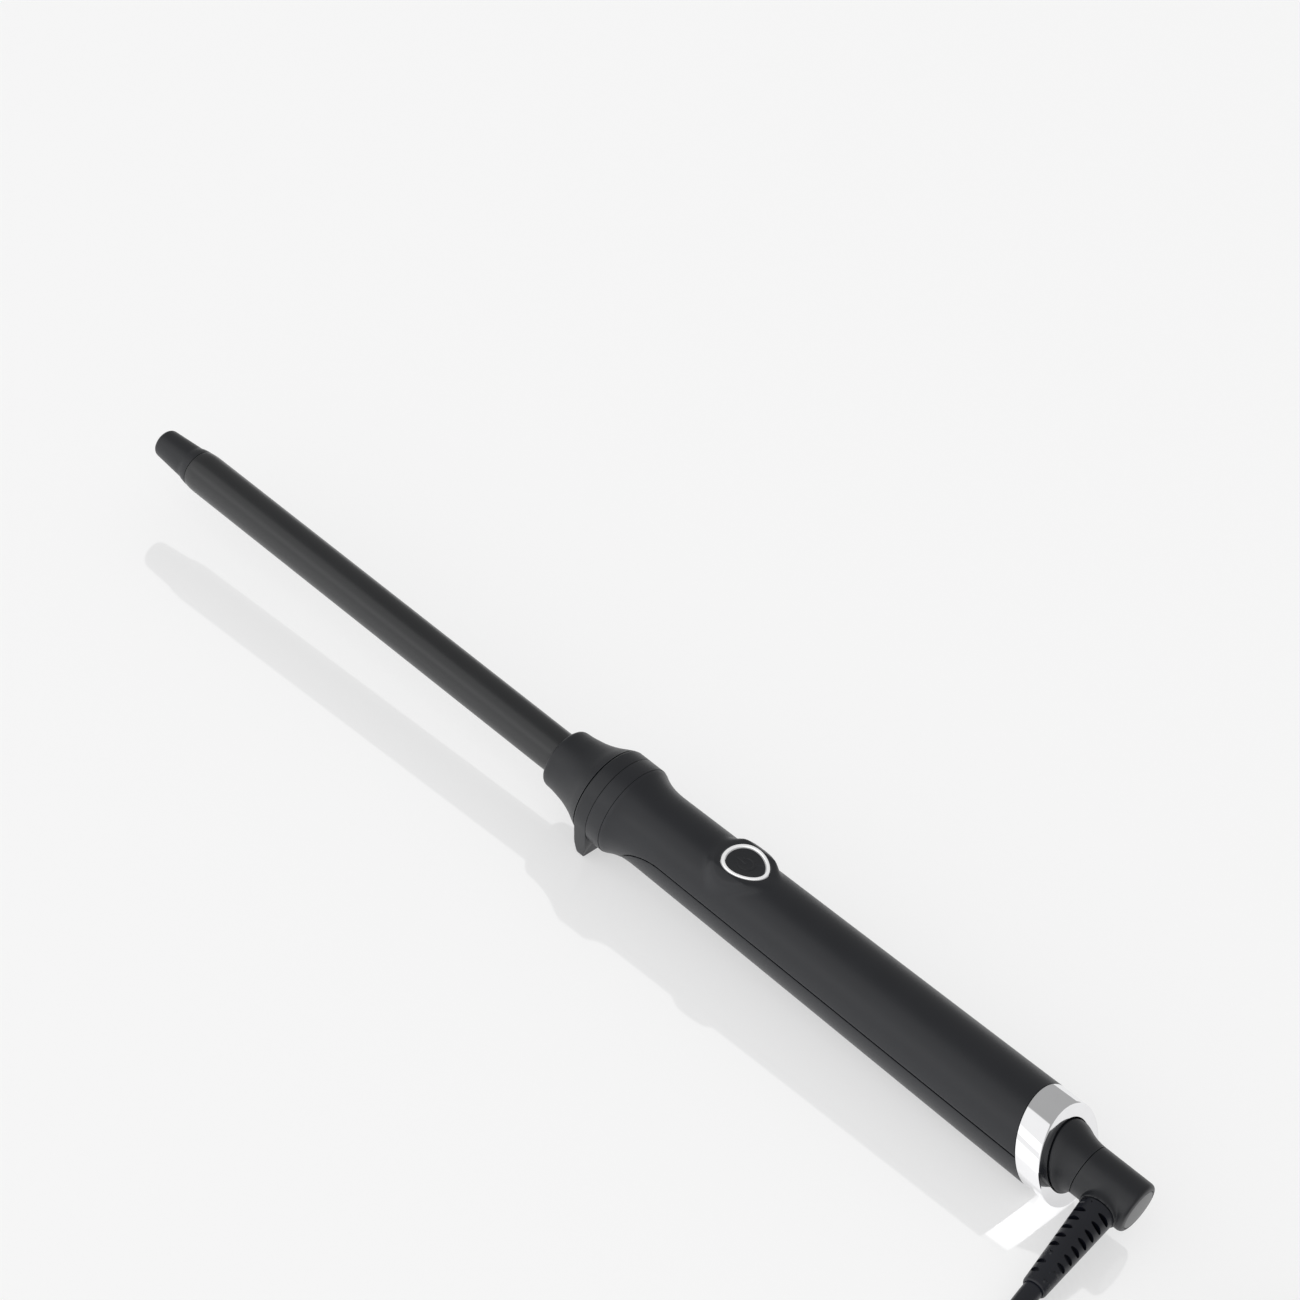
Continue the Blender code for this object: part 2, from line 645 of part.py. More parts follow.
def make_flange(axis):
    """The flange thins towards its foot, whose underside is level although the wand leans."""
    outline = flange_outline()
    edges = (
        (-FLANGE_WIDTH, FLANGE_R - NOSE_ROOT_R),
        (-FLANGE_WIDTH + FLANGE_BEVEL, 0.0),
        (-FLANGE_EDGE, 0.0),
        (0.0, FLANGE_EDGE / 2),
    )
    middle = -FLANGE_WIDTH / 2
    rings = []
    for x, trim in edges:
        ring = []
        for y, z in outline:
            thin = min(max((-z - FOOT_THINS_AT) / (FOOT_DROP - FOOT_THINS_AT), 0.0), 1.0)
            thinned = x + (middle - x) * (1.0 - FOOT_THIN / FLANGE_WIDTH) * thin
            if z < -FOOT_DROP + FOOT_FLAT:
                ring.append((thinned, y, z + math.tan(TILT) * (thinned - middle)))
            else:
                size = 1.0 - trim / math.hypot(y, z)
                ring.append((thinned, y * size, z * size))
        rings.append(ring)
    for x in (0.0, -FLANGE_WIDTH):
        sizes = [NOSE_BORE_R / math.hypot(y, z) for y, z in outline]
        rings.append([(x, size * y, size * z) for (y, z), size in zip(outline, sizes)])
    add("stand_flange", skin(rings, True), "heat_plastic", axis)


# ---------------------------------------------------------------- handle


def make_handle(axis):
    body = handle_tube("handle_body", axis)
    cut(body, cover_space("cover_room", axis, SEAM / 2))
    outline = egg(BEZEL_LONG + GAP, BEZEL_WIDE + GAP)
    cut(body, prism("button_well", outline, BEZEL_BOTTOM - 3.0 * MM, BEYOND, "handle_plastic", axis))
    cover = handle_tube("handle_cover", axis)
    cut(cover, cover_space("cover_shape", axis, -SEAM / 2), "INTERSECT")
    rear = COLLAR_FRONT + COLLAR_WIDTH
    web = rear - COLLAR_WEB
    turned(
        "rear_collar",
        [
            (COLLAR_FRONT, COLLAR_R - COLLAR_WALL, SLANT),
            (COLLAR_FRONT, COLLAR_R - 0.3 * MM, SLANT),
            (COLLAR_FRONT + 0.3 * MM, COLLAR_R, SLANT),
            (rear - 0.5 * MM, COLLAR_R, SLANT),
            (rear, COLLAR_R - 0.5 * MM, SLANT),
            (rear, COLLAR_HOLE_R + 0.2 * MM, SLANT),
            (rear - 0.2 * MM, COLLAR_HOLE_R, SLANT),
            (web, COLLAR_HOLE_R, SLANT),
            (web, COLLAR_R - COLLAR_WALL, SLANT),
        ],
        "chrome",
        axis,
        ROUND + 8,
    )


def make_button(axis):
    outer = egg(BEZEL_LONG, BEZEL_WIDE)
    inner = egg(BEZEL_LONG - BEZEL_RIM, BEZEL_WIDE - BEZEL_RIM)
    lip = egg(BEZEL_LONG - 0.25 * MM, BEZEL_WIDE - 0.25 * MM)
    rings = [
        [(x, y, z) for x, y in shape]
        for shape, z in (
            (outer, BEZEL_BOTTOM),
            (outer, BEZEL_TOP - 0.25 * MM),
            (lip, BEZEL_TOP),
            (inner, BEZEL_TOP),
            (inner, BEZEL_BOTTOM),
        )
    ]
    add("button_bezel", skin(rings, True), "chrome", axis)
    room = BEZEL_RIM + GAP
    rings = [
        [(x, y, z) for x, y in egg(BEZEL_LONG - room - trim, BEZEL_WIDE - room - trim)]
        for trim, z in (
            (0.0, BUTTON_BOTTOM),
            (0.0, BUTTON_TOP - GAP),
            (0.3 * MM, BUTTON_TOP),
            (2.5 * MM, BUTTON_TOP - BUTTON_DISH),
        )
    ]
    button = add("power_button", skin(rings, False), "heat_plastic", axis)
    set_origin(button, (BUTTON_X, 0.0, BUTTON_BOTTOM))
    stops = ((BUTTON_BOTTOM - GAP, STEM_R), (STEM_BOTTOM, STEM_R))
    stem = post("button_stem", (BUTTON_X, 0.0), stops, "part_black", axis)
    set_origin(stem, (BUTTON_X, 0.0, BUTTON_BOTTOM))


# ---------------------------------------------------------------- electronics


def make_board(axis):
    half = BOARD_WIDE / 2
    spans = ((BOARD_FRONT, BOARD_BACK), (-half, half), (BOARD_UNDER, BOARD_TOP))
    board = box("circuit_board", spans, "board_green", axis)
    ends = (BOARD_FRONT - 3.0 * MM, BOARD_BACK + 3.0 * MM)
    sides = (-half + 0.5 * MM, half - 0.5 * MM)
    chassis = box("chassis", (ends, sides, (CHASSIS_UNDER, CHASSIS_TOP)), "heat_plastic", axis)
    top = PART_FOOT
    for number, x in enumerate(BOARD_SCREWS, 1):
        place = (x, 0.0)
        stops = ((BOARD_UNDER - GAP, SCREW_BOSS_R), (0.0, SCREW_BOSS_R))
        cut(chassis, post(f"boss_{number}", place, stops, "heat_plastic", axis), "UNION")
        stops = ((BEYOND, SCREW_HOLE_R), (-BEYOND, SCREW_HOLE_R))
        hole = post(f"screw_hole_{number}", place, stops, "steel", axis)
        cut(chassis, hole)
        cut(board, hole)
        stops = (
            (top + 1.3 * MM, SCREW_HEAD_R - 0.6 * MM),
            (top + 1.0 * MM, SCREW_HEAD_R),
            (top, SCREW_HEAD_R),
            (top, SCREW_R),
            (CHASSIS_UNDER - 0.2 * MM, SCREW_R),
        )
        post(f"board_screw_{number}", place, stops, "steel", axis, 16)
    make_board_parts(axis)


def make_board_parts(axis):
    """What stands on the board: the switch under the button, the light, and the power parts."""
    top = PART_FOOT
    along = (BUTTON_X - SWITCH_HALF, BUTTON_X + SWITCH_HALF)
    box("push_switch", (along, (-SWITCH_HALF, SWITCH_HALF), (top, SWITCH_TOP)), "part_black", axis)
    stops = ((top + 4.5 * MM, 0.5 * MM), (top + 4.1 * MM, 1.2 * MM), (top, 1.5 * MM))
    post("status_light", (LIGHT_X, 0.0), stops, "led_clear", axis, 16)
    box("triac", TRIAC, "part_black", axis)
    front, back, radius = CAN
    nick = 0.4 * MM
    profile = [(front, 0.0), (front, radius - nick), (front + nick, radius), (back, radius), (back, 0.0)]
    can = turned("smoothing_capacitor", profile, "capacitor_blue", axis, SMALL_ROUND)
    can.location.z = top + radius + 0.2 * MM
    box("film_capacitor", FILM, "lead_white", axis)
    stops = ((top + BUZZER_HIGH, BUZZER_R - 0.8 * MM), (top + BUZZER_HIGH - 0.4 * MM, BUZZER_R), (top, BUZZER_R))
    post("buzzer", (BUZZER_X, 0.0), stops, "part_black", axis)


# ---------------------------------------------------------------- swivel and elbow


def make_swivel(axis):
    bore = BUSH_R + GAP
    base = COLLAR_FRONT + COLLAR_WIDTH
    shelf = base - COLLAR_WEB - GAP
    front = COLLAR_FRONT - 2.05 * MM
    shelf_r = COLLAR_R - COLLAR_WALL - 1.5 * GAP
    profile = [(front, bore, 0.0), (front, shelf_r, 0.0), (shelf, shelf_r, SLANT), (shelf, BELL_R, SLANT)]
    for along, swell in ((0.0, 1.0), (0.12, 0.97), (0.25, 0.8), (0.4, 0.52), (0.6, 0.25), (0.8, 0.08), (1.0, 0.0)):
        radius = ELBOW_R + (BELL_R - ELBOW_R) * swell
        profile.append((base + BELL_LONG * along, radius, SLANT * (1.0 - along)))
    profile.append((SWIVEL_X, bore, 0.0))
    turned("swivel_bell", profile, "heat_plastic", axis)
    clear = SPINDLE_R + GAP
    sleeve("swivel_bush", (front + 0.4 * MM, SWIVEL_X - GAP), clear, BUSH_R, "brass", axis)
    spindle_end = SWIVEL_X + GAP + SPINDLE_DEEP
    sleeve("swivel_spindle", (SPINDLE_FRONT, spindle_end), SPINDLE_BORE_R, SPINDLE_R, "steel", axis)
    sleeve("retaining_clip", CLIP, clear, CLIP_R, "steel", axis)
    sleeve("contact_drum", DRUM, clear, DRUM_R, "part_black", axis)
    for name, x in TRACKS:
        sleeve(f"slip_ring_{name}", (x, x + TRACK_WIDE), DRUM_R + GAP, TRACK_R, "brass", axis)
        along = (x + BRUSH_INSET, x + TRACK_WIDE - BRUSH_INSET)
        across = (-BRUSH_WIDE / 2, BRUSH_WIDE / 2)
        box(f"brush_{name}", (along, across, (TRACK_R + GAP, BRUSH_TOP)), "brass", axis)
    low = BRUSH_TOP + GAP
    high = math.sqrt((handle_radius(DRUM[0]) - HANDLE_WALL - GAP) ** 2 - HOLDER_HALF**2)
    along = (DRUM[0] - 2.5 * MM, DRUM[1] - 0.5 * MM)
    box("brush_holder", (along, (-HOLDER_HALF, HOLDER_HALF), (low, high)), "heat_plastic", axis)
    for name, side in (("supply_lead_live", 1), ("supply_lead_neutral", -1)):
        lead(name, SUPPLY_LEAD, side, axis)


def relief_frame():
    """X runs out along the strain relief, and Y lies across it, level with the wand's axis."""
    across = RELIEF_WAY.cross(Vector((0.0, 0.0, 1.0))).normalized()
    up = across.cross(RELIEF_WAY)
    turn = Matrix((RELIEF_WAY, -across, up)).transposed().to_4x4()
    return Matrix.Translation((RELIEF_X, 0.0, 0.0)) @ turn


def make_elbow(axis):
    start, end = SWIVEL_X + GAP, SWIVEL_X + GAP + ELBOW_LONG
    elbow = turned(
        "cord_elbow",
        [
            (start, 0.0),
            (start, ELBOW_R - 0.15 * MM),
            (start + 0.2 * MM, ELBOW_R),
            (end - ELBOW_ROUND, ELBOW_R),
            (end - 0.5 * ELBOW_ROUND, ELBOW_R - 0.2 * ELBOW_ROUND),
            (end, ELBOW_R - 0.7 * ELBOW_ROUND),
            (end, ELBOW_CAP_R + GAP),
            (end - CAP_DEEP - GAP, ELBOW_CAP_R + GAP),
            (end - CAP_DEEP - GAP, 0.0),
        ],
        "heat_plastic",
        axis,
    )
    mouth = RELIEF_START - GAP
    boss = turned(
        "relief_boss",
        [
            (RELIEF_BOSS_INNER, 0.0),
            (RELIEF_BOSS_INNER, RELIEF_BOSS_R),
            (mouth, RELIEF_ROOT_R + 0.2 * MM),
            (mouth, 0.0),
        ],
        "heat_plastic",
        axis,
        SMALL_ROUND + 8,
    )
    room_r, room_end = SPINDLE_R + GAP, start + SOCKET_LONG
    cavity = turned(
        "spindle_room",
        [(start - 2.0 * MM, 0.0), (start - 2.0 * MM, room_r), (room_end, room_r), (room_end, 0.0)],
        "heat_plastic",
        axis,
    )
    boss.matrix_local = relief_frame()
    cut(elbow, boss, "UNION")
    cut(elbow, cavity)
    set_origin(elbow, (SWIVEL_X, 0.0, 0.0))
    turned(
        "elbow_cap",
        [
            (end - CAP_DEEP, 0.0),
            (end - CAP_DEEP, ELBOW_CAP_R),
            (end - 0.2 * MM, ELBOW_CAP_R),
            (end + 0.1 * MM, ELBOW_CAP_R - 0.6 * MM),
            (end + 0.2 * MM, 0.5 * ELBOW_CAP_R),
            (end + 0.2 * MM, 0.0),
        ],
        "cap_grey",
        axis,
        SMALL_ROUND + 8,
    )
    make_relief(axis)


def make_relief(axis):
    """A tapered sleeve with four rows of slots, so that it bends with the cord."""
    relief = turned(
        "strain_relief",
        [
            (RELIEF_START, 0.0),
            (RELIEF_START, RELIEF_ROOT_R),
            (RELIEF_END - 2.0 * MM, RELIEF_TIP_R + 0.15 * MM),
            (RELIEF_END - 0.5 * MM, RELIEF_TIP_R - 0.1 * MM),
            (RELIEF_END, CORD_R + 0.1 * MM),
            (RELIEF_END, 0.0),
        ],
        "rubber",
        axis,
        SMALL_ROUND + 4,
    )
    slots = bmesh.new()
    for row in range(4):
        turn = Matrix.Rotation(math.radians(45.0 + 90.0 * row), 4, "X")
        for number in range(RELIEF_SLOTS - row % 2):
            x = RELIEF_START + RELIEF_PITCH / 2 + (number + 0.5 * (row % 2)) * RELIEF_PITCH
            place = Matrix.Translation((x, 0.0, SLOT_FLOOR_R + SLOT_DEEP / 2))
            long = SLOT_LONG - SLOT_NARROWING * (x - RELIEF_START)
            size = Matrix.Diagonal((RELIEF_SLOT, long, SLOT_DEEP, 1.0))
            bmesh.ops.create_cube(slots, size=1.0, matrix=turn @ place @ size)
    cutter = add("relief_slots", slots, "rubber", axis)
    relief.matrix_local = relief_frame()
    cutter.matrix_local = relief_frame()
    cut(relief, cutter)


# ---------------------------------------------------------------- cord and plug


def make_cord(axis):
    bpy.context.view_layer.update()
    relief = axis.matrix_world @ relief_frame()
    exit_point = relief @ Vector((RELIEF_END + GAP, 0.0, 0.0))
    way = relief.to_3x3() @ Vector((1.0, 0.0, 0.0))
    run = (
        (201.9, -55.5, 3.5),
        (207.4, -64.3, 3.1),
        (215.8, -69.3, 3.1),
        (225.5, -71.0, 3.1),
        (238.5, -71.2, 3.1),
        (252.0, -70.9, 3.2),
        (265.3, -70.7, 3.4),
    )
    tail = (
        (313.0, -70.5, 7.1),
        (323.0, -69.7, 5.0),
        (333.0, -66.4, 4.6),
        (341.6, -61.2, 5.3),
        (347.3, -54.4, 6.3),
        (349.4, -49.2, 6.8),
        (349.5, -44.9, 6.9),
    )
    route = [exit_point, exit_point + 6.0 * MM * way]
    route += [Vector(point) * MM for point in run]
    tube("cord_run", route, CORD_R, "rubber", resolution=3)
    make_coil()
    tube("cord_tail", [Vector(point) * MM for point in tail], CORD_R, "rubber", resolution=3)
    make_plug()


def make_coil():
    """The stored length: a ring with the section of twelve turns, and the band that ties it."""
    low, high = COIL_LIFT, COIL_LIFT + COIL_HIGH
    section = []
    for side_x, side_z, start in ((1, 1, 0.0), (-1, 1, 90.0), (-1, -1, 180.0), (1, -1, 270.0)):
        for t in np.radians(np.linspace(start, start + 90.0, 3)):
            x = side_x * (COIL_WIDE / 2 - COIL_CORNER_R) + COIL_CORNER_R * math.cos(t)
            z = side_z * (COIL_HIGH / 2 - COIL_CORNER_R) + COIL_CORNER_R * math.sin(t)
            section.append((COIL_R + x, (low + high) / 2 + z))
    turns = np.linspace(0.0, 2.0 * math.pi, SMALL_ROUND + 8, endpoint=False)
    rings = [[(r * math.cos(t), r * math.sin(t), z) for r, z in section] for t in turns]
    coil = add("cord_coil", skin(rings, True), "rubber")
    coil.location = COIL_MIDDLE
    reach = COIL_WIDE / 2 + GAP + TIE_STAND_OFF
    rings = []
    for side_x, side_z in ((1, 1), (-1, 1), (-1, -1), (1, -1)):
        near_z = high + GAP if side_z > 0 else low - GAP
        near = (COIL_R + side_x * reach, near_z)
        far = (COIL_R + side_x * (reach + TIE_THICK), near_z + side_z * TIE_THICK)
        half = TIE_WIDE / 2
        corners = ((near, -half), (near, half), (far, half), (far, -half))
        rings.append([(x, y, z) for (x, z), y in corners])
    tie = add("coil_tie", skin(rings, True), "part_black")
    tie.location = COIL_MIDDLE
    tie.rotation_euler.z = TIE_ANGLE


def make_plug():
    """A moulded two-pin plug, lying flat beside the coil."""
    rings = []
    for along, wide, high in PLUG_SHAPE:
        ring = []
        for t in np.linspace(0.0, 2.0 * math.pi, SMALL_ROUND + 8, endpoint=False):
            c, s = math.cos(t), math.sin(t)
            x = PLUG_WIDE * wide * math.copysign(abs(c) ** PLUG_SQUARENESS, c)
            z = PLUG_HIGH * high * math.copysign(abs(s) ** PLUG_SQUARENESS, s)
            ring.append((PLUG_X + x, PLUG_BACK + PLUG_LONG * along, PLUG_Z + z))
        rings.append(ring)
    add("plug_body", skin(rings, False), "rubber")
    boot = turned(
        "plug_relief",
        [(0.0, 0.0), (0.0, BOOT_TIP_R), (BOOT_LONG, BOOT_R), (BOOT_LONG, 0.0)],
        "rubber",
        None,
        SMALL_ROUND,
    )
    boot.rotation_euler.z = math.radians(90.0)
    boot.location = (PLUG_X, PLUG_BACK - GAP - BOOT_LONG, PLUG_Z)
    for number, side in ((1, -1), (2, 1)):
        pin = turned(
            f"plug_pin_{number}",
            [(GAP, 0.0), (GAP, PIN_R), (PIN_LONG - PIN_TAPER, PIN_R), (PIN_LONG, PIN_R - PIN_TAPER), (PIN_LONG, 0.0)],
            "steel",
            None,
            SMALL_ROUND,
        )
        pin.rotation_euler.z = math.radians(90.0)
        pin.location = (PLUG_X + side * PIN_APART, PLUG_BACK + PLUG_LONG, PLUG_Z)


def main():
    clear_scene()
    axis = wand_axis()
    make_barrel(axis)
    make_front(axis)
    make_handle(axis)
    make_button(axis)
    make_board(axis)
    make_swivel(axis)
    make_elbow(axis)
    make_cord(axis)


main()
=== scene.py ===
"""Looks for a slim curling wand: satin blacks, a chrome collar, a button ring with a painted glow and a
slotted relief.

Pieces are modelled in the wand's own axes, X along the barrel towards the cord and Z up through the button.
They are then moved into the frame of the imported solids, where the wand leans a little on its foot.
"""

import json
import math

import bmesh
import bpy
from mathutils import Matrix, Vector

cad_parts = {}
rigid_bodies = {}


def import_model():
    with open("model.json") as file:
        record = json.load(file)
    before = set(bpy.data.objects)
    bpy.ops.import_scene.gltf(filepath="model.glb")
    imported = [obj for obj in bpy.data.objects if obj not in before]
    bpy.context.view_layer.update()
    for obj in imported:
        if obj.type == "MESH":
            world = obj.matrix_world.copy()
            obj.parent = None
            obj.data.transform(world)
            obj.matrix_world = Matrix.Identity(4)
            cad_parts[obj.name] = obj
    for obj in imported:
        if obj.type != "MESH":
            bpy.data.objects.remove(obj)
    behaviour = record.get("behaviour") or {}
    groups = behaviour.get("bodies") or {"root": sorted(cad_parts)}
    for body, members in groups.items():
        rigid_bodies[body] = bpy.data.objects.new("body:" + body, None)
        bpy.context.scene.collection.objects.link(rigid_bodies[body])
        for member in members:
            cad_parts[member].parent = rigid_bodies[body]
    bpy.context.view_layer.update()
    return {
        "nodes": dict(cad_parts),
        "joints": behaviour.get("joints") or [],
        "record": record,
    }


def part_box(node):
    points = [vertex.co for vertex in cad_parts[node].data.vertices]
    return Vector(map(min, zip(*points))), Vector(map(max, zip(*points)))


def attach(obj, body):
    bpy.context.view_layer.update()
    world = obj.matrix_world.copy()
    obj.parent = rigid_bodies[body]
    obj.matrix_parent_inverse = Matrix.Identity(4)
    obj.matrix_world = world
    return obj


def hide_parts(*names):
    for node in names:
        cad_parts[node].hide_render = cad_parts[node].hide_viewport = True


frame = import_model()

MM = 0.001
ROUND = 144  # sides of the large turned pieces
SMALL_ROUND = 72

# Camera
CAMERA_PLACE = Vector((0.4222, -0.6142, 0.6866))
CAMERA_TARGET = Vector((-0.0532, 0.0798, 0.0))
CAMERA_ROLL = math.radians(12.65)
CAMERA_LENS = 90.37
CAMERA_SENSOR = 36.0

# Studio, in radiance
FAR_ROOM = 0.43
NEAR_ROOM = 1.0
TABLE_GLOW = 0.54

# Places along the wand's axis; x = 0 is where the flange meets the front ring
SWIVEL_X = 183.7 * MM
GAP = 0.3 * MM
HAIRLINE = 0.08 * MM  # the gap at a tight seam
COLLAR_LINE = 0.22 * MM  # the dark line in front of the collar

# Handle
NECK_X = 17.0 * MM
NECK_R = 12.8 * MM
LIP_R = 15.4 * MM
HANDLE_GROWTH = 0.0106
FLARE_POWER = 2.6
WALL = 2.0 * MM
SEAM_TOP = 0.9 * MM
SEAM_WIDTH = 0.42 * MM
SEAM_EDGE_R = 0.16 * MM
COVER_NOSE_X = 28.0 * MM
COVER_NOSE_LONG = 17.0 * MM
COVER_NOSE_DEEP = 13.9 * MM
SLANT = 0.45

# Button
BUTTON_X = 49.0 * MM
BEZEL_LONG = 7.6 * MM
BEZEL_WIDE = 7.3 * MM
BEZEL_RIM = 1.15 * MM
EGG = 0.16
POD_TOP = 13.3 * MM
POD_SPREAD = 1.62
POD_FADE = 0.5
POD_MOST = 2.2 * MM
SYMBOL_R = 2.5 * MM
SYMBOL_LINE = 0.34 * MM
SYMBOL_LIFT = 0.16 * MM

# Elbow and strain relief
ELBOW_R = 8.15 * MM
RELIEF_X = 193.1 * MM
RELIEF_WAY = Vector((0.0905, -0.9745, -0.209)).normalized()
RELIEF_START = 8.8 * MM
BOSS_R = 6.0 * MM
RELIEF_END = 40.5 * MM
RELIEF_ROOT_R = 5.6 * MM
RELIEF_TIP_R = 3.75 * MM
SLOT_COUNT = 9
SLOT_PITCH = 3.3 * MM

# Cord
CORD_R = 3.0 * MM
COIL_MIDDLE = Vector((289.0, -29.5, 0.0)) * MM
COIL_R = 32.0 * MM
COIL_PITCH = 6.0 * MM
COIL_LIFT = 0.95 * MM
TIE_ANGLE = math.radians(50.0)


# The frame's axes


def spread(first, last, count, whole=True):
    """Count evenly spaced numbers from first to last, leaving the last one off unless whole."""
    gaps = count - 1 if whole else count
    return [first + (last - first) * i / gaps for i in range(count)]


def wand_axes():
    """The matrix from the wand's own axes to the frame, from the joint that its elbow turns on."""
    swivel = next(joint for joint in frame["joints"] if joint["name"] == "cord_swivel")
    way = Vector(swivel["axis"]).normalized()
    side = Vector((0.0, 1.0, 0.0))
    turn = Matrix((way, side, way.cross(side))).transposed().to_4x4()
    return Matrix.Translation(Vector(swivel["pos_m"]) - way * SWIVEL_X) @ turn


WAND = wand_axes()
TO_WAND = WAND.inverted()


def span(node):
    """A CAD node's lowest and highest corners along the wand's own axes."""
    points = [TO_WAND @ vertex.co for vertex in frame["nodes"][node].data.vertices]
    return Vector(map(min, zip(*points))), Vector(map(max, zip(*points)))


def relief_axes():
    """X runs out along the strain relief, and Y lies across it, level with the wand's axis."""
    across = RELIEF_WAY.cross(Vector((0.0, 0.0, 1.0))).normalized()
    up = across.cross(RELIEF_WAY)
    turn = Matrix((RELIEF_WAY, -across, up)).transposed().to_4x4()
    return Matrix.Translation((RELIEF_X, 0.0, 0.0)) @ turn


# Arithmetic on node sockets


class Field:
    """A number at each point of a shape or surface, written as plain arithmetic in a node tree."""

    def __init__(self, tree, socket):
        self.tree = tree
        self.socket = socket

    def math(self, operation, *others, clamp=False):
        node = self.tree.nodes.new("ShaderNodeMath")
        node.operation = operation
        node.use_clamp = clamp
        for place, value in zip(node.inputs, (self, *others)):
            if isinstance(value, Field):
                self.tree.links.new(value.socket, place)
            else:
                place.default_value = value
        return Field(self.tree, node.outputs[0])

    def __add__(self, other):
        return self.math("ADD", other)

    def __sub__(self, other):
        return self.math("SUBTRACT", other)

    def __mul__(self, other):
        return self.math("MULTIPLY", other)

    def __truediv__(self, other):
        return self.math("DIVIDE", other)

    def __pow__(self, other):
        return self.math("POWER", other)

    def at_least(self, other):
        return self.math("MAXIMUM", other)

    def at_most(self, other):
        return self.math("MINIMUM", other)

    def clamped(self):
        return self.math("ADD", 0.0, clamp=True)

    def smooth(self):
        """A clamped share from 0 to 1, eased at both ends."""
        share = self.clamped()
        return share * share * (share * -2.0 + 3.0)

    def root(self):
        return self.math("SQRT")


def geometry_tree(name, sizes):
    """A Geometry Nodes tree with a geometry and these named sizes going in, and one geometry coming out."""
    tree = bpy.data.node_groups.new(name, "GeometryNodeTree")
    tree.interface.new_socket("Geometry", in_out="INPUT", socket_type="NodeSocketGeometry")
    for label in sizes:
        kind = "NodeSocketInt" if isinstance(sizes[label], int) else "NodeSocketFloat"
        tree.interface.new_socket(label, in_out="INPUT", socket_type=kind)
    tree.interface.new_socket("Geometry", in_out="OUTPUT", socket_type="NodeSocketGeometry")
    start = tree.nodes.new("NodeGroupInput")
    inputs = {label: Field(tree, start.outputs[label]) for label in sizes}
    return tree, start.outputs["Geometry"], inputs


def place_node(tree, kind, values=None, **settings):
    """A node with its settings and its inputs: a socket or Field is linked, and the rest are set."""
    node = tree.nodes.new(kind)
    for key, value in settings.items():
        setattr(node, key, value)
    for key, value in (values or {}).items():
        if isinstance(value, Field):
            tree.links.new(value.socket, node.inputs[key])
        elif isinstance(value, bpy.types.NodeSocket):
            tree.links.new(value, node.inputs[key])
        else:
            node.inputs[key].default_value = value
    return node


def finish_tree(tree, geometry, material):
    """Ends a tree in Realize Instances and Set Material."""
    real = place_node(tree, "GeometryNodeRealizeInstances", {"Geometry": geometry})
    painted = place_node(tree, "GeometryNodeSetMaterial", {"Geometry": real.outputs[0], "Material": material})
    end = tree.nodes.new("NodeGroupOutput")
    tree.links.new(painted.outputs[0], end.inputs[0])


def grown(name, mesh, tree, sizes):
    """The plain mesh that a Geometry Nodes tree makes with these sizes."""
    obj = bpy.data.objects.new(name + "_source", mesh)
    bpy.context.scene.collection.objects.link(obj)
    modifier = obj.modifiers.new("grow", "NODES")
    modifier.node_group = tree
    for item in tree.interface.items_tree:
        if item.in_out == "INPUT" and item.name in sizes:
            modifier[item.identifier] = sizes[item.name]
    bpy.context.view_layer.update()
    graph = bpy.context.evaluated_depsgraph_get()
    made = bpy.data.meshes.new_from_object(obj.evaluated_get(graph), depsgraph=graph)
    made.name = name
    bpy.data.objects.remove(obj)
    return made


# Materials


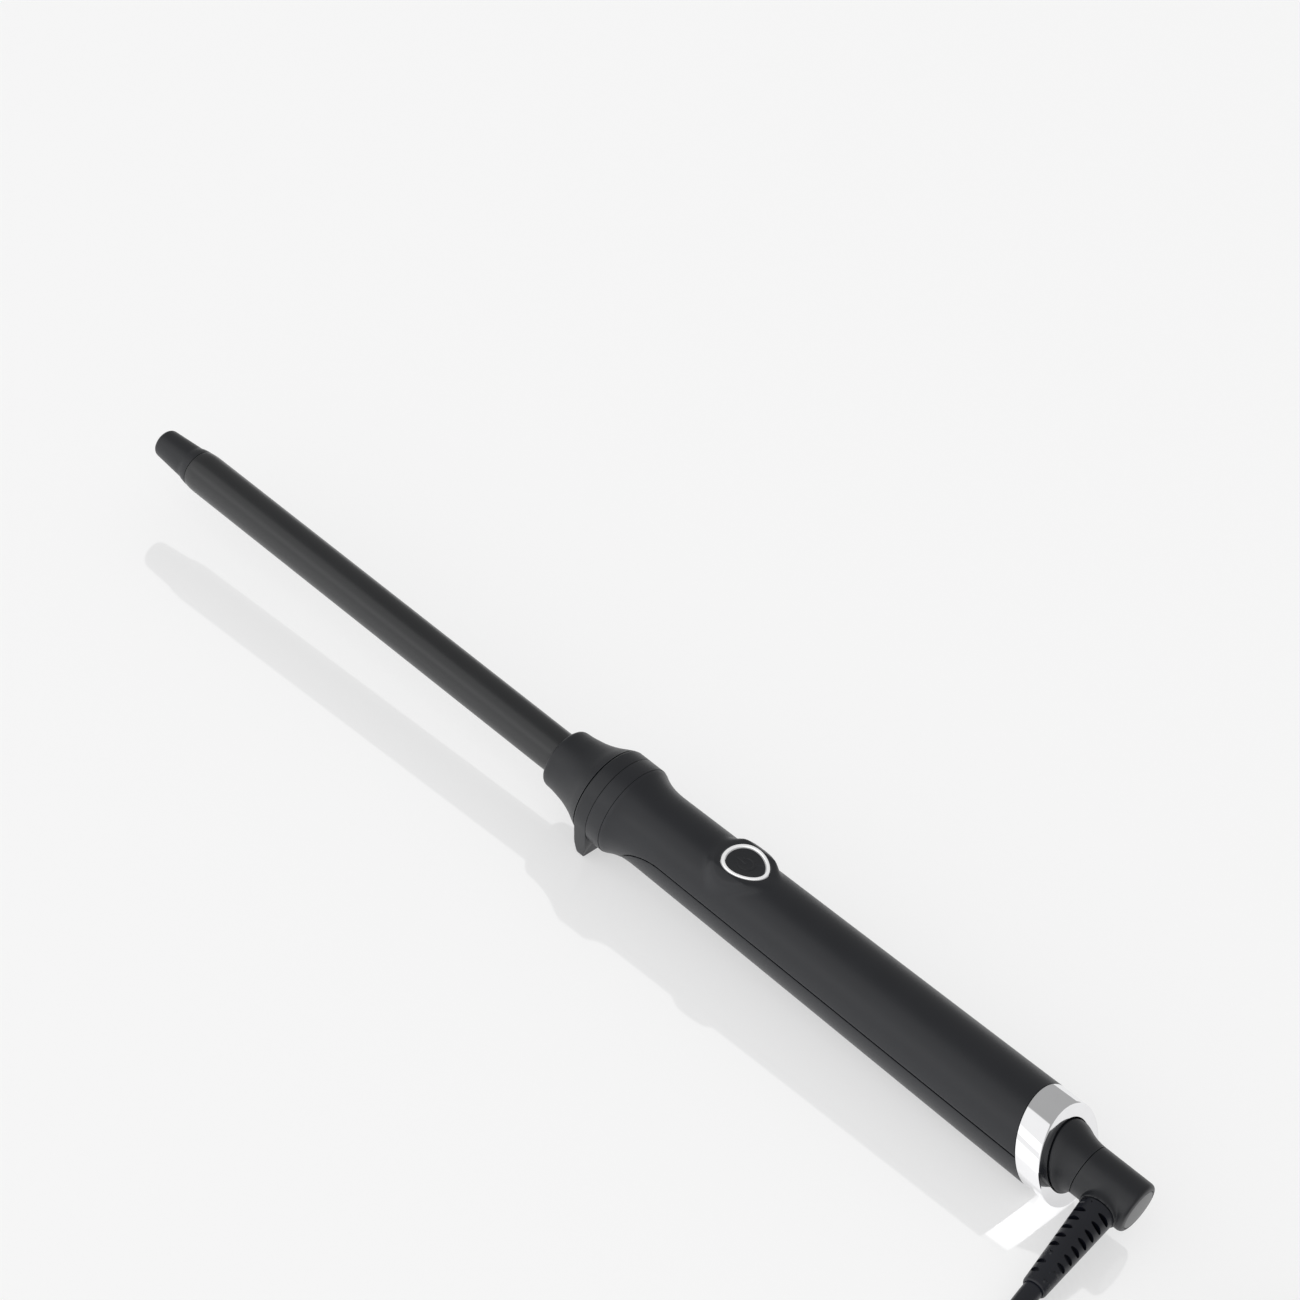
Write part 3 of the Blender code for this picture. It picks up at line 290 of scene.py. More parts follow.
class Paint:
    """Builds one procedural finish on Object coordinates."""

    def __init__(self, name, metallic=0.0, roughness=0.5, **fixed):
        self.material = bpy.data.materials.new(name)
        self.material.use_nodes = True
        self.tree = self.material.node_tree
        self.shader = self.tree.nodes["Principled BSDF"]
        self.shader.inputs["Metallic"].default_value = metallic
        self.shader.inputs["Roughness"].default_value = roughness
        for key, value in fixed.items():
            self.shader.inputs[key.replace("_", " ")].default_value = value
        self.where = self.tree.nodes.new("ShaderNodeTexCoord").outputs["Object"]

    def node(self, kind, values=None, **settings):
        return place_node(self.tree, kind, values, **settings)

    def noise(self, size, detail=3.0, stretch=(1.0, 1.0, 1.0)):
        """A noise whose grains are about this size in metres, drawn out along an axis by stretch."""
        scale = [1.0 / (size * s) for s in stretch]
        mapped = self.node("ShaderNodeMapping", {"Vector": self.where, "Scale": scale})
        made = self.node("ShaderNodeTexNoise", {"Vector": mapped.outputs[0], "Scale": 1.0, "Detail": detail})
        return Field(self.tree, made.outputs[0])

    def cells(self, size):
        scaled = self.node("ShaderNodeTexVoronoi", {"Vector": self.where, "Scale": 1.0 / size})
        return Field(self.tree, scaled.outputs["Distance"])

    def blend(self, share, first, second):
        made = self.node("ShaderNodeMix", {0: share}, data_type="RGBA")
        for place, colour in ((made.inputs[6], first), (made.inputs[7], second)):
            if isinstance(colour, bpy.types.NodeSocket):
                self.tree.links.new(colour, place)
            else:
                place.default_value = (*colour, 1.0)
        return made.outputs[2]

    def colour(self, socket):
        self.tree.links.new(socket, self.shader.inputs["Base Color"])

    def rough(self, field):
        self.tree.links.new(field.socket, self.shader.inputs["Roughness"])

    def bump(self, *layers):
        """Layers of (height field, depth in metres), the first one lowest."""
        normal = None
        for height, depth in layers:
            values = {"Height": height, "Distance": depth, "Strength": 1.0}
            if normal is not None:
                values["Normal"] = normal
            normal = self.node("ShaderNodeBump", values).outputs[0]
        self.tree.links.new(normal, self.shader.inputs["Normal"])

    def edges(self, low, high):
        """0 on open surface and 1 on worn edges."""
        pointed = Field(self.tree, self.node("ShaderNodeNewGeometry").outputs["Pointiness"])
        return ((pointed - low) / (high - low)).smooth()


def moulded(name, dark, light, roughness, spread, grain, depth, worn=0.25, **fixed):
    """Moulded plastic or rubber: two close tones in broad patches, a fine grain and paler edges."""
    paint = Paint(name, roughness=roughness, **fixed)
    patches = paint.noise(14.0 * MM, 4.0)
    fine = paint.noise(grain, 2.0)
    body = paint.blend(((patches - 0.35) * 1.6 + (fine - 0.5) * 0.5).clamped(), dark, light)
    edge = paint.edges(0.52, 0.62)
    paint.colour(paint.blend(edge * worn, body, tuple(2.2 * c for c in light)))
    paint.rough((patches - 0.5) * spread + (fine - 0.5) * spread - edge * 0.06 + roughness)
    paint.bump((patches, 0.25 * depth), (fine, depth))
    return paint.material


def coated_metal():
    """The barrel: a satin heat-proof coat with a very fine grain, drawn a little along the barrel."""
    paint = Paint("barrel_satin", metallic=0.0, roughness=0.31, Specular_IOR_Level=0.66)
    drawn = paint.noise(0.5 * MM, 3.0, (14.0, 1.0, 1.0))
    fine = paint.noise(0.16 * MM, 2.0)
    patches = paint.noise(22.0 * MM, 3.0)
    tone = ((patches - 0.3) * 1.2 + (drawn - 0.5) * 0.5).clamped()
    paint.colour(paint.blend(tone, (0.007, 0.0076, 0.009), (0.011, 0.0118, 0.0135)))
    paint.rough((patches - 0.5) * 0.06 + (drawn - 0.5) * 0.1 + 0.31)
    paint.bump((drawn, 0.004 * MM), (fine, 0.006 * MM))
    return paint.material


def polished(name, colour, roughness, smudge):
    """Plated metal: a mirror with faint handling smudges and hairline scratches."""
    paint = Paint(name, metallic=1.0, roughness=roughness)
    smudges = paint.noise(5.0 * MM, 5.0)
    hair = paint.noise(0.12 * MM, 2.0, (1.0, 40.0, 40.0))
    paint.colour(paint.blend((smudges - 0.3).clamped(), colour, tuple(0.94 * c for c in colour)))
    paint.rough((smudges - 0.45).clamped() * smudge + (hair - 0.5) * 0.02 + roughness)
    paint.bump((hair, 0.0006 * MM))
    return paint.material


def brushed(name, colour, roughness, way=(1.0, 12.0, 12.0)):
    """Bare worked metal: fine tool marks round the piece, with darker stains."""
    paint = Paint(name, metallic=1.0, roughness=roughness)
    marks = paint.noise(0.15 * MM, 3.0, way)
    stains = paint.noise(4.0 * MM, 4.0)
    paint.colour(paint.blend(((stains - 0.4) * 1.5).clamped(), colour, tuple(0.75 * c for c in colour)))
    paint.rough((marks - 0.5) * 0.25 + (stains - 0.5) * 0.2 + roughness)
    paint.bump((marks, 0.006 * MM))
    return paint.material


def fired(name, colour, roughness):
    """Ceramic: matt, faintly speckled and a little uneven."""
    paint = Paint(name, roughness=roughness)
    specks = paint.cells(0.7 * MM)
    patches = paint.noise(3.0 * MM)
    darker = tuple(0.82 * c for c in colour)
    paint.colour(paint.blend((specks * 0.5 + patches * 0.5).clamped(), colour, darker))
    paint.rough((patches - 0.5) * 0.2 + roughness)
    paint.bump((patches, 0.02 * MM), (specks, 0.01 * MM))
    return paint.material


def circuit_green():
    """Solder mask over copper tracks: paler square runs under a glossy green coat."""
    paint = Paint("solder_mask", roughness=0.3)
    mapped = paint.node("ShaderNodeMapping", {"Vector": paint.where, "Scale": (520.0, 640.0, 1.0)})
    tracks = paint.node(
        "ShaderNodeTexBrick",
        {
            "Vector": mapped.outputs[0],
            "Scale": 1.0,
            "Mortar Size": 0.12,
            "Brick Width": 3.4,
            "Row Height": 0.8,
        },
    )
    runs = Field(paint.tree, tracks.outputs["Fac"])
    weave = paint.noise(0.3 * MM)
    paint.colour(paint.blend(runs, (0.010, 0.105, 0.045), (0.03, 0.24, 0.10)))
    paint.rough((weave - 0.5) * 0.15 + 0.3)
    paint.bump((runs, 0.03 * MM), (weave, 0.006 * MM))
    return paint.material


def wet_sheen(name, colour, roughness):
    """Shrink sleeves, lead jackets and lamp lenses: smooth, with soft patches of tone."""
    paint = Paint(name, roughness=roughness)
    patches = paint.noise(1.5 * MM, 3.0)
    paint.colour(paint.blend(((patches - 0.3) * 1.4).clamped(), colour, tuple(0.8 * c for c in colour)))
    paint.rough((patches - 0.5) * 0.15 + roughness)
    paint.bump((patches, 0.02 * MM))
    return paint.material


def with_painted_glow(material, strength):
    """The same finish with a faint white emission added: a painted glow that makes the part read brighter
    than its lighting does.
    """
    shader = next(node for node in material.node_tree.nodes if node.type == "BSDF_PRINCIPLED")
    shader.inputs["Emission Color"].default_value = (1.0, 1.0, 1.0, 1.0)
    shader.inputs["Emission Strength"].default_value = strength
    return material


FINISHES = {
    "barrel_coat": coated_metal(),
    "heat_plastic": moulded(
        "nose_and_elbow_plastic",
        (0.0085, 0.0096, 0.0125),
        (0.0115, 0.0127, 0.0162),
        0.42,
        0.1,
        0.22 * MM,
        0.012 * MM,
    ),
    "handle_plastic": moulded(
        "handle_soft_touch",
        (0.0085, 0.0096, 0.0130),
        (0.0115, 0.0127, 0.0168),
        0.40,
        0.08,
        0.18 * MM,
        0.010 * MM,
        Sheen_Weight=0.03,
        Sheen_Roughness=0.4,
    ),
    "chrome": polished("chrome_plate", (0.88, 0.88, 0.89), 0.035, 0.10),
    # Satin silver for the button ring, with a painted glow: white emission that makes the ring read bright
    # white.
    "satin_silver_painted_glow": with_painted_glow(polished("satin_silver_painted_glow", (0.95, 0.95, 0.95), 0.42, 0.10), 0.35),
    "cap_grey": moulded(
        "end_disc_satin",
        (0.085, 0.087, 0.09),
        (0.11, 0.112, 0.116),
        0.34,
        0.1,
        0.3 * MM,
        0.008 * MM,
        0.1,
    ),
    "rubber": moulded(
        "cord_rubber",
        (0.0048, 0.0058, 0.0105),
        (0.0075, 0.009, 0.0155),
        0.36,
        0.14,
        0.3 * MM,
        0.02 * MM,
        0.3,
    ),
    "part_black": moulded(
        "component_black",
        (0.012, 0.012, 0.012),
        (0.02, 0.02, 0.02),
        0.45,
        0.1,
        0.2 * MM,
        0.02 * MM,
    ),
    "brass": brushed("turned_brass", (0.80, 0.60, 0.28), 0.26),
    "steel": brushed("turned_steel", (0.62, 0.62, 0.64), 0.28),
    "aluminium": brushed("cast_aluminium", (0.74, 0.75, 0.76), 0.38, (30.0, 1.0, 1.0)),
    "ceramic": fired("fired_ceramic", (0.80, 0.78, 0.73), 0.5),
    "board_green": circuit_green(),
    "capacitor_blue": wet_sheen("capacitor_sleeve", (0.03, 0.07, 0.22), 0.3),
    "lead_white": wet_sheen("lead_jacket", (0.74, 0.73, 0.70), 0.45),
    "led_clear": wet_sheen("lamp_lens", (0.80, 0.84, 0.86), 0.12),
}


# Shape helpers


def publish(name, bm, slot, body, node, axes=WAND, sharp=32.0, finish=None):
    """Makes the piece that stands for a CAD node: at the origin, its place in its mesh, normals out."""
    bmesh.ops.remove_doubles(bm, verts=bm.verts, dist=1e-7)
    bmesh.ops.recalc_face_normals(bm, faces=bm.faces)
    mesh = bpy.data.meshes.new(name)
    bm.to_mesh(mesh)
    bm.free()
    mesh.materials.append(FINISHES[finish or slot])
    return publish_mesh(name, mesh, body, node, axes, sharp)


def publish_mesh(name, mesh, body, node, axes=WAND, sharp=32.0):
    mesh.transform(axes)
    mesh.shade_smooth()
    mesh.set_sharp_from_angle(angle=math.radians(sharp))
    obj = bpy.data.objects.new(name, mesh)
    bpy.context.scene.collection.objects.link(obj)
    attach(obj, body)
    if node:
        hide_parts(node)
    return obj


def flowing(points, count):
    """Count points for each span of a smooth curve through these points."""
    points = [Vector(p) for p in points]
    ends = [2 * points[0] - points[1], *points, 2 * points[-1] - points[-2]]
    out = []
    for a, b, c, d in zip(ends, ends[1:], ends[2:], ends[3:]):
        for t in spread(0.0, 1.0, count, False):
            slope, bend, twist = c - a, 2 * a - 5 * b + 4 * c - d, 3 * b - a - 3 * c + d
            out.append(0.5 * (2 * b + slope * t + bend * t**2 + twist * t**3))
    out.append(points[-1])
    return out


def rounded(corners, steps=6, closed=True):
    """Section points (x, r, lean) from corners (x, r, rounding, lean), with rounded corners made arcs."""
    full = [(Vector((c[0], c[1], c[3] if len(c) > 3 else 0.0)), c[2]) for c in corners]
    out = []
    for i, (here, size) in enumerate(full):
        if size == 0.0 or (not closed and i in (0, len(full) - 1)):
            out.append(here)
            continue
        before, after = full[i - 1][0], full[(i + 1) % len(full)][0]
        into = (before - here) * min(1.0, size / max((before - here).length, 1e-9))
        onto = (after - here) * min(1.0, size / max((after - here).length, 1e-9))
        for s in spread(0.0, 1.0, steps):
            out.append(here + (1.0 - s) ** 2 * into + s**2 * onto)
    return [tuple(p) for p in out]


def rings_of(section, steps):
    turns = spread(0.0, 2.0 * math.pi, steps, False)
    circle = [(math.cos(t), math.sin(t)) for t in turns]
    return [[(x - lean * r * up, r * across, r * up) for across, up in circle] for x, r, lean in section]


def skin(rings, wrap):
    """A bmesh over rings of equally many points: closed on itself with wrap, or with a fan at each end."""
    bm = bmesh.new()
    rows = [[bm.verts.new(point) for point in ring] for ring in rings]
    count = len(rows[0])
    pairs = list(zip(rows, rows[1:]))
    if wrap:
        pairs.append((rows[-1], rows[0]))
    for first, second in pairs:
        for i in range(count):
            j = (i + 1) % count
            bm.faces.new((first[i], first[j], second[j], second[i]))
    if not wrap:
        for row in (rows[0], rows[-1]):
            middle = bm.verts.new(sum((v.co for v in row), Vector()) / count)
            for i in range(count):
                bm.faces.new((row[i], row[(i + 1) % count], middle))
    return bm


def turned(section, steps=ROUND, wrap=True):
    """A bmesh turned about X from a closed section, or from one that starts and ends near the axis."""
    return skin(rings_of(section, steps), wrap)


def mesh_of(bm, name="shape"):
    bmesh.ops.recalc_face_normals(bm, faces=bm.faces)
    mesh = bpy.data.meshes.new(name)
    bm.to_mesh(mesh)
    bm.free()
    return mesh


def carved(name, mesh, cutters):
    """The mesh after Booleans with (operation, mesh) cutters, in order."""
    scene = bpy.context.scene.collection.objects
    obj = bpy.data.objects.new(name + "_blank", mesh)
    scene.link(obj)
    tools = []
    for number, (operation, cutter) in enumerate(cutters):
        tool = bpy.data.objects.new(f"{name}_cutter_{number}", cutter)
        scene.link(tool)
        modifier = obj.modifiers.new(tool.name, "BOOLEAN")
        modifier.operation = operation
        modifier.object = tool
        tools.append(tool)
    bpy.context.view_layer.update()
    graph = bpy.context.evaluated_depsgraph_get()
    made = bpy.data.meshes.new_from_object(obj.evaluated_get(graph), depsgraph=graph)
    made.name = name
    finishes = [material for material in made.materials if material]
    made.materials.clear()
    for finish in finishes[:1]:
        made.materials.append(finish)
    for used in (obj, *tools):
        bpy.data.objects.remove(used)
    return made


# Barrel, tip, nose, flange and ring


def make_barrel():
    low, high = span("barrel_tube")
    wall = 1.0 * MM
    front, back, radius = low.x, high.x, high.y
    section = rounded(
        [
            (back, radius - wall, 0.2 * MM),
            (back, radius, 0.2 * MM),
            (front + 2.5 * MM, radius, 1.6 * MM),
            (front, radius - 0.36 * MM, 0.25 * MM),
            (front, radius - wall, 0.1 * MM),
        ]
    )
    publish("barrel", turned(section), "barrel_coat", "wand", "barrel_tube")


def make_tip():
    low, high = span("cool_tip")
    seat = span("barrel_tube")[0].x
    start = low.x
    end_r, root_r, shoulder_r = 5.0 * MM, 5.8 * MM, high.y
    spigot_r = 5.7 * MM
    waist = seat - 5.4 * MM
    shoulder = flowing(
        [
            (waist, root_r, 0.0),
            (waist + 1.6 * MM, root_r + 0.12 * MM, 0.0),
            (waist + 3.0 * MM, root_r + 0.5 * MM, 0.0),
            (waist + 4.2 * MM, shoulder_r - 0.12 * MM, 0.0),
            (seat - HAIRLINE, shoulder_r, 0.0),
        ],
        5,
    )
    corners = [(start, 0.3 * MM, 0.0), (start, end_r - 0.1 * MM, 1.5 * MM), (waist, root_r, 0.0)]
    end = rounded(corners, 9, False)
    spigot = [(seat - HAIRLINE, spigot_r, 0.0), (high.x, spigot_r - 0.4 * MM, 0.0)]
    section = end[:-1] + [tuple(p) for p in shoulder] + spigot
    publish("tip", turned(section, wrap=False), "heat_plastic", "wand", "cool_tip")


def make_nose():
    low, high = span("nose_cone")
    front, back = low.x, high.x
    bore = span("barrel_tube")[1].y + 0.12 * MM
    flank = flowing(
        [
            (front + 1.9 * MM, 10.22 * MM, 0.0),
            (front + 3.7 * MM, 10.36 * MM, 0.0),
            (front + 6.3 * MM, 10.74 * MM, 0.0),
            (front + 8.9 * MM, 11.24 * MM, 0.0),
            (front + 11.5 * MM, 11.98 * MM, 0.0),
            (front + 14.1 * MM, 12.98 * MM, 0.0),
            (front + 16.5 * MM, 14.15 * MM, 0.0),
            (back, 15.1 * MM, 0.0),
        ],
        6,
    )
    mouth = rounded(
        [
            (front + 1.6 * MM, bore, 0.0),
            (front, bore, 0.5 * MM),
            (front, 10.08 * MM, 1.4 * MM),
            (front + 1.9 * MM, 10.22 * MM, 0.0),
        ],
        8,
        False,
    )
    inside = [(back, 11.6 * MM, 0.0), (front + 14.0 * MM, 8.3 * MM, 0.0), (front + 1.6 * MM, 8.3 * MM, 0.0)]
    section = mouth[:-1] + [tuple(p) for p in flank] + inside
    publish("nose", turned(section), "heat_plastic", "wand", "nose_cone")


def flange_outline(radius, drop, taper, corner):
    """(y, z) points of a round disc whose sides run on down, drawing in, to a flat-bottomed foot."""
    points = [(radius * math.cos(t), radius * math.sin(t)) for t in spread(-taper, math.pi + taper, 97)]
    fall = (drop + points[0][1]) / math.cos(taper)
    side = []
    for down in spread(0.12 * fall, 0.84 * fall, 7):
        side.append((points[0][0] - down * math.sin(taper), points[0][1] - down * math.cos(taper)))
    corner_y = points[0][0] - fall * math.sin(taper) - corner * 0.8
    for t in spread(-taper, -math.pi / 2, 9):
        side.append((corner_y + corner * math.cos(t), corner - drop + corner * math.sin(t)))
    flat = [(y, -drop) for y in spread(-corner_y, corner_y, 9)[1:-1]]
    return points + [(-y, z) for y, z in side] + flat + list(reversed(side))


def make_flange():
    """The stand flange: its foot thins downwards, and its underside is level with the table."""
    low, high = span("stand_flange")
    width, radius, drop = high.x - low.x, high.z, 18.9 * MM
    bore = 8.3 * MM
    outline = flange_outline(radius, drop, math.radians(14.5), 1.8 * MM)
    middle = (low.x + high.x) / 2
    tilt = -WAND.col[0].z / WAND.col[2].z
    section = rounded(
        [
            (low.x, bore - radius, 0.0),
            (low.x, -0.3 * MM, 0.15 * MM),
            (low.x + 0.5 * MM, 0.0, 0.3 * MM),
            (high.x, 0.0, 0.18 * MM),
            (high.x, bore - radius, 0.0),
        ],
        6,
    )
    thin_from, thin_share = 14.0 * MM, 0.5
    rings = []
    for x, trim, _ in section:
        ring = []
        for y, z in outline:
            reach = math.hypot(y, z)
            if trim <= bore - radius:
                ring.append((x, bore * y / reach, bore * z / reach))
                continue
            floor = z < -drop + 0.01 * MM
            size = 1.0 if floor else 1.0 + trim / reach
            thin = thin_share * min(max((-z - thin_from) / (drop - thin_from), 0.0), 1.0)
            thinned = x + (middle - x) * thin
            ring.append((thinned, y * size, z + tilt * (thinned - middle) if floor else z * size))
        rings.append(ring)
    publish("flange_and_foot", skin(rings, True), "heat_plastic", "wand", "stand_flange")


def make_ring():
    low, high = span("front_ring")
    section = rounded(
        [
            (HAIRLINE, 8.3 * MM, 0.0),
            (HAIRLINE, high.y, 0.22 * MM),
            (span("handle_body")[0].x - HAIRLINE, high.y, 0.16 * MM),
            (span("handle_body")[0].x - HAIRLINE, 11.0 * MM, 0.0),
            (4.0 * MM, 8.3 * MM, 0.0),
        ]
    )
    publish("front_band", turned(section), "handle_plastic", "wand", "front_ring")


# Handle


def handle_rule():
    """A solid of the handle's outside: a flared lip, a waist, a leaning rear and a raised pod."""
    names = ("Front", "Length", "Neck place", "Neck radius", "Lip radius", "Growth", "Rear lean")
    sizes = dict.fromkeys(names, 0.0)
    sizes |= dict.fromkeys(("Pod place", "Pod height", "Seam height", "Seam edge"), 0.0)
    tree, _, size = geometry_tree("handle_rule", sizes)
    drum = place_node(
        tree,
        "GeometryNodeMeshCylinder",
        {"Vertices": 180, "Side Segments": 250, "Radius": 1.0, "Depth": 1.0},
    )
    place = place_node(tree, "GeometryNodeInputPosition")
    parts = place_node(tree, "ShaderNodeSeparateXYZ", {0: place.outputs[0]})
    across, up, share = (Field(tree, parts.outputs[i]) for i in range(3))
    across = across * -1.0
    share = share + 0.5
    along = size["Front"] + size["Length"] * share
    flare_from = size["Front"] + 0.15 * MM
    fallen = ((along - flare_from) / (size["Neck place"] - flare_from)).clamped()
    flare = (size["Lip radius"] - size["Neck radius"]) * ((fallen * -1.0 + 1.0) ** FLARE_POWER)
    radius = size["Neck radius"] + size["Growth"] * (along - size["Neck place"]).at_least(0.0) + flare
    edge = ((along - size["Front"]) / (0.25 * MM)).clamped() - 1.0
    radius = radius - edge * edge * (0.22 * MM)
    leaning = ((share - 0.9) / 0.1).clamped() * size["Rear lean"]
    x = along - leaning * radius * up
    z = radius * up
    y = radius * across
    ahead = (x - size["Pod place"]) / BEZEL_LONG
    beside = y / ((ahead.at_least(-1.0).at_most(1.0) * -EGG + 1.0) * BEZEL_WIDE)
    away = (ahead * ahead + beside * beside).root()
    raised = ((away * -1.0 + POD_SPREAD) / POD_FADE).smooth()
    flat = size["Pod height"] * radius / z.at_least(1.0 * MM)
    gain = raised * (flat.at_most(radius + POD_MOST) - radius) * (z / (3.0 * MM)).clamped()
    scale = gain / radius + 1.0
    y, z = y * scale, z * scale
    y, z = sunk_seam(size, radius, x, y, z)
    moved = place_node(tree, "ShaderNodeCombineXYZ", {0: x, 1: y, 2: z})
    set_place = place_node(
        tree, "GeometryNodeSetPosition", {"Geometry": drum.outputs["Mesh"], "Position": moved.outputs[0]}
    )
    finish_tree(tree, set_place.outputs[0], FINISHES["handle_plastic"])
    return tree


def sunk_seam(size, radius, x, y, z):
    """Rounds the surface into the parting line: level along the handle, then dipping under the neck."""
    drop = size["Seam height"] - COVER_NOSE_DEEP
    level = (z - size["Seam height"]).math("ABSOLUTE")
    behind = ((x - COVER_NOSE_X) / (0.1 * MM)).clamped()
    forward = (x * -1.0 + COVER_NOSE_X).at_least(0.0) / COVER_NOSE_LONG
    below = (z - drop).at_least(0.0) / COVER_NOSE_DEEP
    curve = ((forward * forward + below * below).root() - 1.0).math("ABSOLUTE")
    dipped = curve * (0.5 * (COVER_NOSE_LONG + COVER_NOSE_DEEP))
    away = behind * level + (behind * -1.0 + 1.0) * dipped
    inset = (away * -1.0 + (SEAM_EDGE_R + SEAM_WIDTH / 2)).at_least(0.0).at_most(SEAM_EDGE_R)
    edge_r = size["Seam edge"]
    sunk = edge_r - (edge_r * edge_r - inset * inset).at_least(0.0).root()
    scale = (sunk * -1.0 + radius) / radius
    return y * scale, z * scale


def cover_space(spare):
    """The room of the lower cover: level on top, with a rounded front that dips under the neck."""
    top = SEAM_TOP + spare
    floor, back, side = -20.0 * MM, 200.0 * MM, 20.0 * MM
    low = SEAM_TOP - COVER_NOSE_DEEP
    long, deep = COVER_NOSE_LONG + spare, COVER_NOSE_DEEP + spare
    turns = spread(0.0, math.pi / 2, 49)
    outline = [(COVER_NOSE_X - long * math.sin(t), low + deep * math.cos(t)) for t in turns]
    outline += [(COVER_NOSE_X - long, floor), (back, floor), (back, top)]
    bm = bmesh.new()
    rows = [[bm.verts.new((x, y, z)) for x, z in outline] for y in (-side, side)]
    for i in range(len(outline)):
        j = (i + 1) % len(outline)
        bm.faces.new((rows[0][i], rows[0][j], rows[1][j], rows[1][i]))
    bm.faces.new(rows[0])
    bm.faces.new(rows[1])
    return mesh_of(bm)


def egg(long, wide, steps=120):
    turns = spread(0.0, 2.0 * math.pi, steps, False)
    return [(BUTTON_X + long * math.cos(t), wide * math.sin(t) * (1.0 - EGG * math.cos(t))) for t in turns]


def egg_skin(levels, wrap):
    """A bmesh over egg outlines given as (inset, z)."""
    rings = [[(x, y, z) for x, y in egg(BEZEL_LONG - inset, BEZEL_WIDE - inset)] for inset, z in levels]
    return skin(rings, wrap)


def make_handle():
    front = span("handle_body")[0].x
    collar = span("rear_collar")[0].x + SLANT * span("rear_collar")[1].y
    sizes = {
        "Front": front,
        "Length": collar - COLLAR_LINE - front,
        "Neck place": NECK_X,
        "Neck radius": NECK_R,
        "Lip radius": LIP_R,
        "Growth": HANDLE_GROWTH,
        "Rear lean": SLANT,
        "Pod place": BUTTON_X,
        "Pod height": POD_TOP,
        "Seam height": SEAM_TOP,
        "Seam edge": SEAM_EDGE_R,
    }
    form = grown("handle_form", bpy.data.meshes.new("blank"), handle_rule(), sizes)
    bore = NECK_R - WALL
    far = collar + 10.0 * MM
    grown_bore = bore + HANDLE_GROWTH * (far - NECK_X)
    hollow = [(front - 5.0 * MM, bore, 0.0), (NECK_X, bore, 0.0), (far, grown_bore, 0.0)]
    inner = mesh_of(turned(hollow, 96, False))
    well = mesh_of(egg_skin([(-0.28 * MM, 8.0 * MM), (-0.28 * MM, 20.0 * MM)], False))
    half = SEAM_WIDTH / 2
    upper = carved(
        "handle_upper",
        form,
        [("DIFFERENCE", inner), ("DIFFERENCE", cover_space(half)), ("DIFFERENCE", well)],
    )
    lower_cuts = [("INTERSECT", cover_space(-half)), ("DIFFERENCE", inner.copy())]
    lower = carved("handle_lower", form.copy(), lower_cuts)
    publish_mesh("handle_upper", upper, "wand", "handle_body")
    publish_mesh("handle_lower", lower, "wand", "handle_cover")


def make_collar():
    low, high = span("rear_collar")
    radius = high.y
    front, back = low.x + SLANT * radius, high.x - SLANT * radius
    hole = 10.45 * MM
    inner = radius - 2.0 * MM
    section = rounded(
        [
            (front, inner, 0.0, SLANT),
            (front, radius, 0.14 * MM, SLANT),
            (back, radius, 0.45 * MM, SLANT),
            (back, hole, 0.18 * MM, SLANT),
            (back - 2.5 * MM, hole, 0.0, SLANT),
            (back - 2.5 * MM, inner, 0.0, SLANT),
        ]
    )
    publish("rear_collar_ring", turned(section, 192), "chrome", "wand", "rear_collar", sharp=50.0)


# Button


def make_bezel():
    low, high = span("button_bezel")
    rim = BEZEL_RIM
    levels = [
        (0.0, low.z),
        (0.0, high.z - 0.42 * MM),
        (0.1 * MM, high.z - 0.14 * MM),
        (0.32 * MM, high.z - 0.02 * MM),
        (0.6 * MM, high.z),
        (rim - 0.25 * MM, high.z - 0.03 * MM),
        (rim - 0.06 * MM, high.z - 0.18 * MM),
        (rim, high.z - 0.42 * MM),
        (rim, low.z),
    ]
    ring = egg_skin(levels, True)
    # The ring takes the satin silver finish with a painted glow: white emission that makes it read bright
    # white.
    publish("button_ring", ring, "chrome", "wand", "button_bezel", sharp=60.0, finish="satin_silver_painted_glow")


def symbol_lift(x, y):
    """Height of the raised power sign: an open ring with a bar through its opening."""
    dx, dy = x - BUTTON_X, y
    reach = math.hypot(dx, dy)
    ring = abs(reach - SYMBOL_R)
    opening = math.radians(36.0)
    if abs(math.atan2(dy, -dx)) < opening:
        ends = [(SYMBOL_R * -math.cos(opening), side * SYMBOL_R * math.sin(opening)) for side in (-1, 1)]
        ring = min(math.hypot(dx - ex, dy - ey) for ex, ey in ends)
    bar = math.hypot(max(dx + 0.4 * MM, -3.1 * MM - dx, 0.0), dy)
    near = min(ring, bar)
    share = min(max((SYMBOL_LINE + 0.16 * MM - near) / (0.16 * MM), 0.0), 1.0)
    return SYMBOL_LIFT * share * share * (3.0 - 2.0 * share)


def make_button():
    low, high = span("power_button")
    room = BEZEL_RIM + 0.22 * MM
    long, wide = BEZEL_LONG - room, BEZEL_WIDE - room
    dip = 0.35 * MM
    rings = [[(x, y, low.z) for x, y in egg(long, wide, 200)]]
    for inset, fall in ((0.0, 0.42), (0.03, 0.24), (0.12, 0.1), (0.26, 0.02)):
        rings.append([(x, y, high.z - fall * MM) for x, y in egg(long - inset * MM, wide - inset * MM, 200)])
    for share in spread(0.95, 0.02, 84):
        ring = []
        for x, y in egg(long, wide, 200):
            x, y = BUTTON_X + (x - BUTTON_X) * share, y * share
            ring.append((x, y, high.z - dip * (1.0 - share**2) + symbol_lift(x, y)))
        rings.append(ring)
    publish("power_button_cap", skin(rings, False), "heat_plastic", "button", "power_button", sharp=60.0)


# Swivel bell, elbow and relief


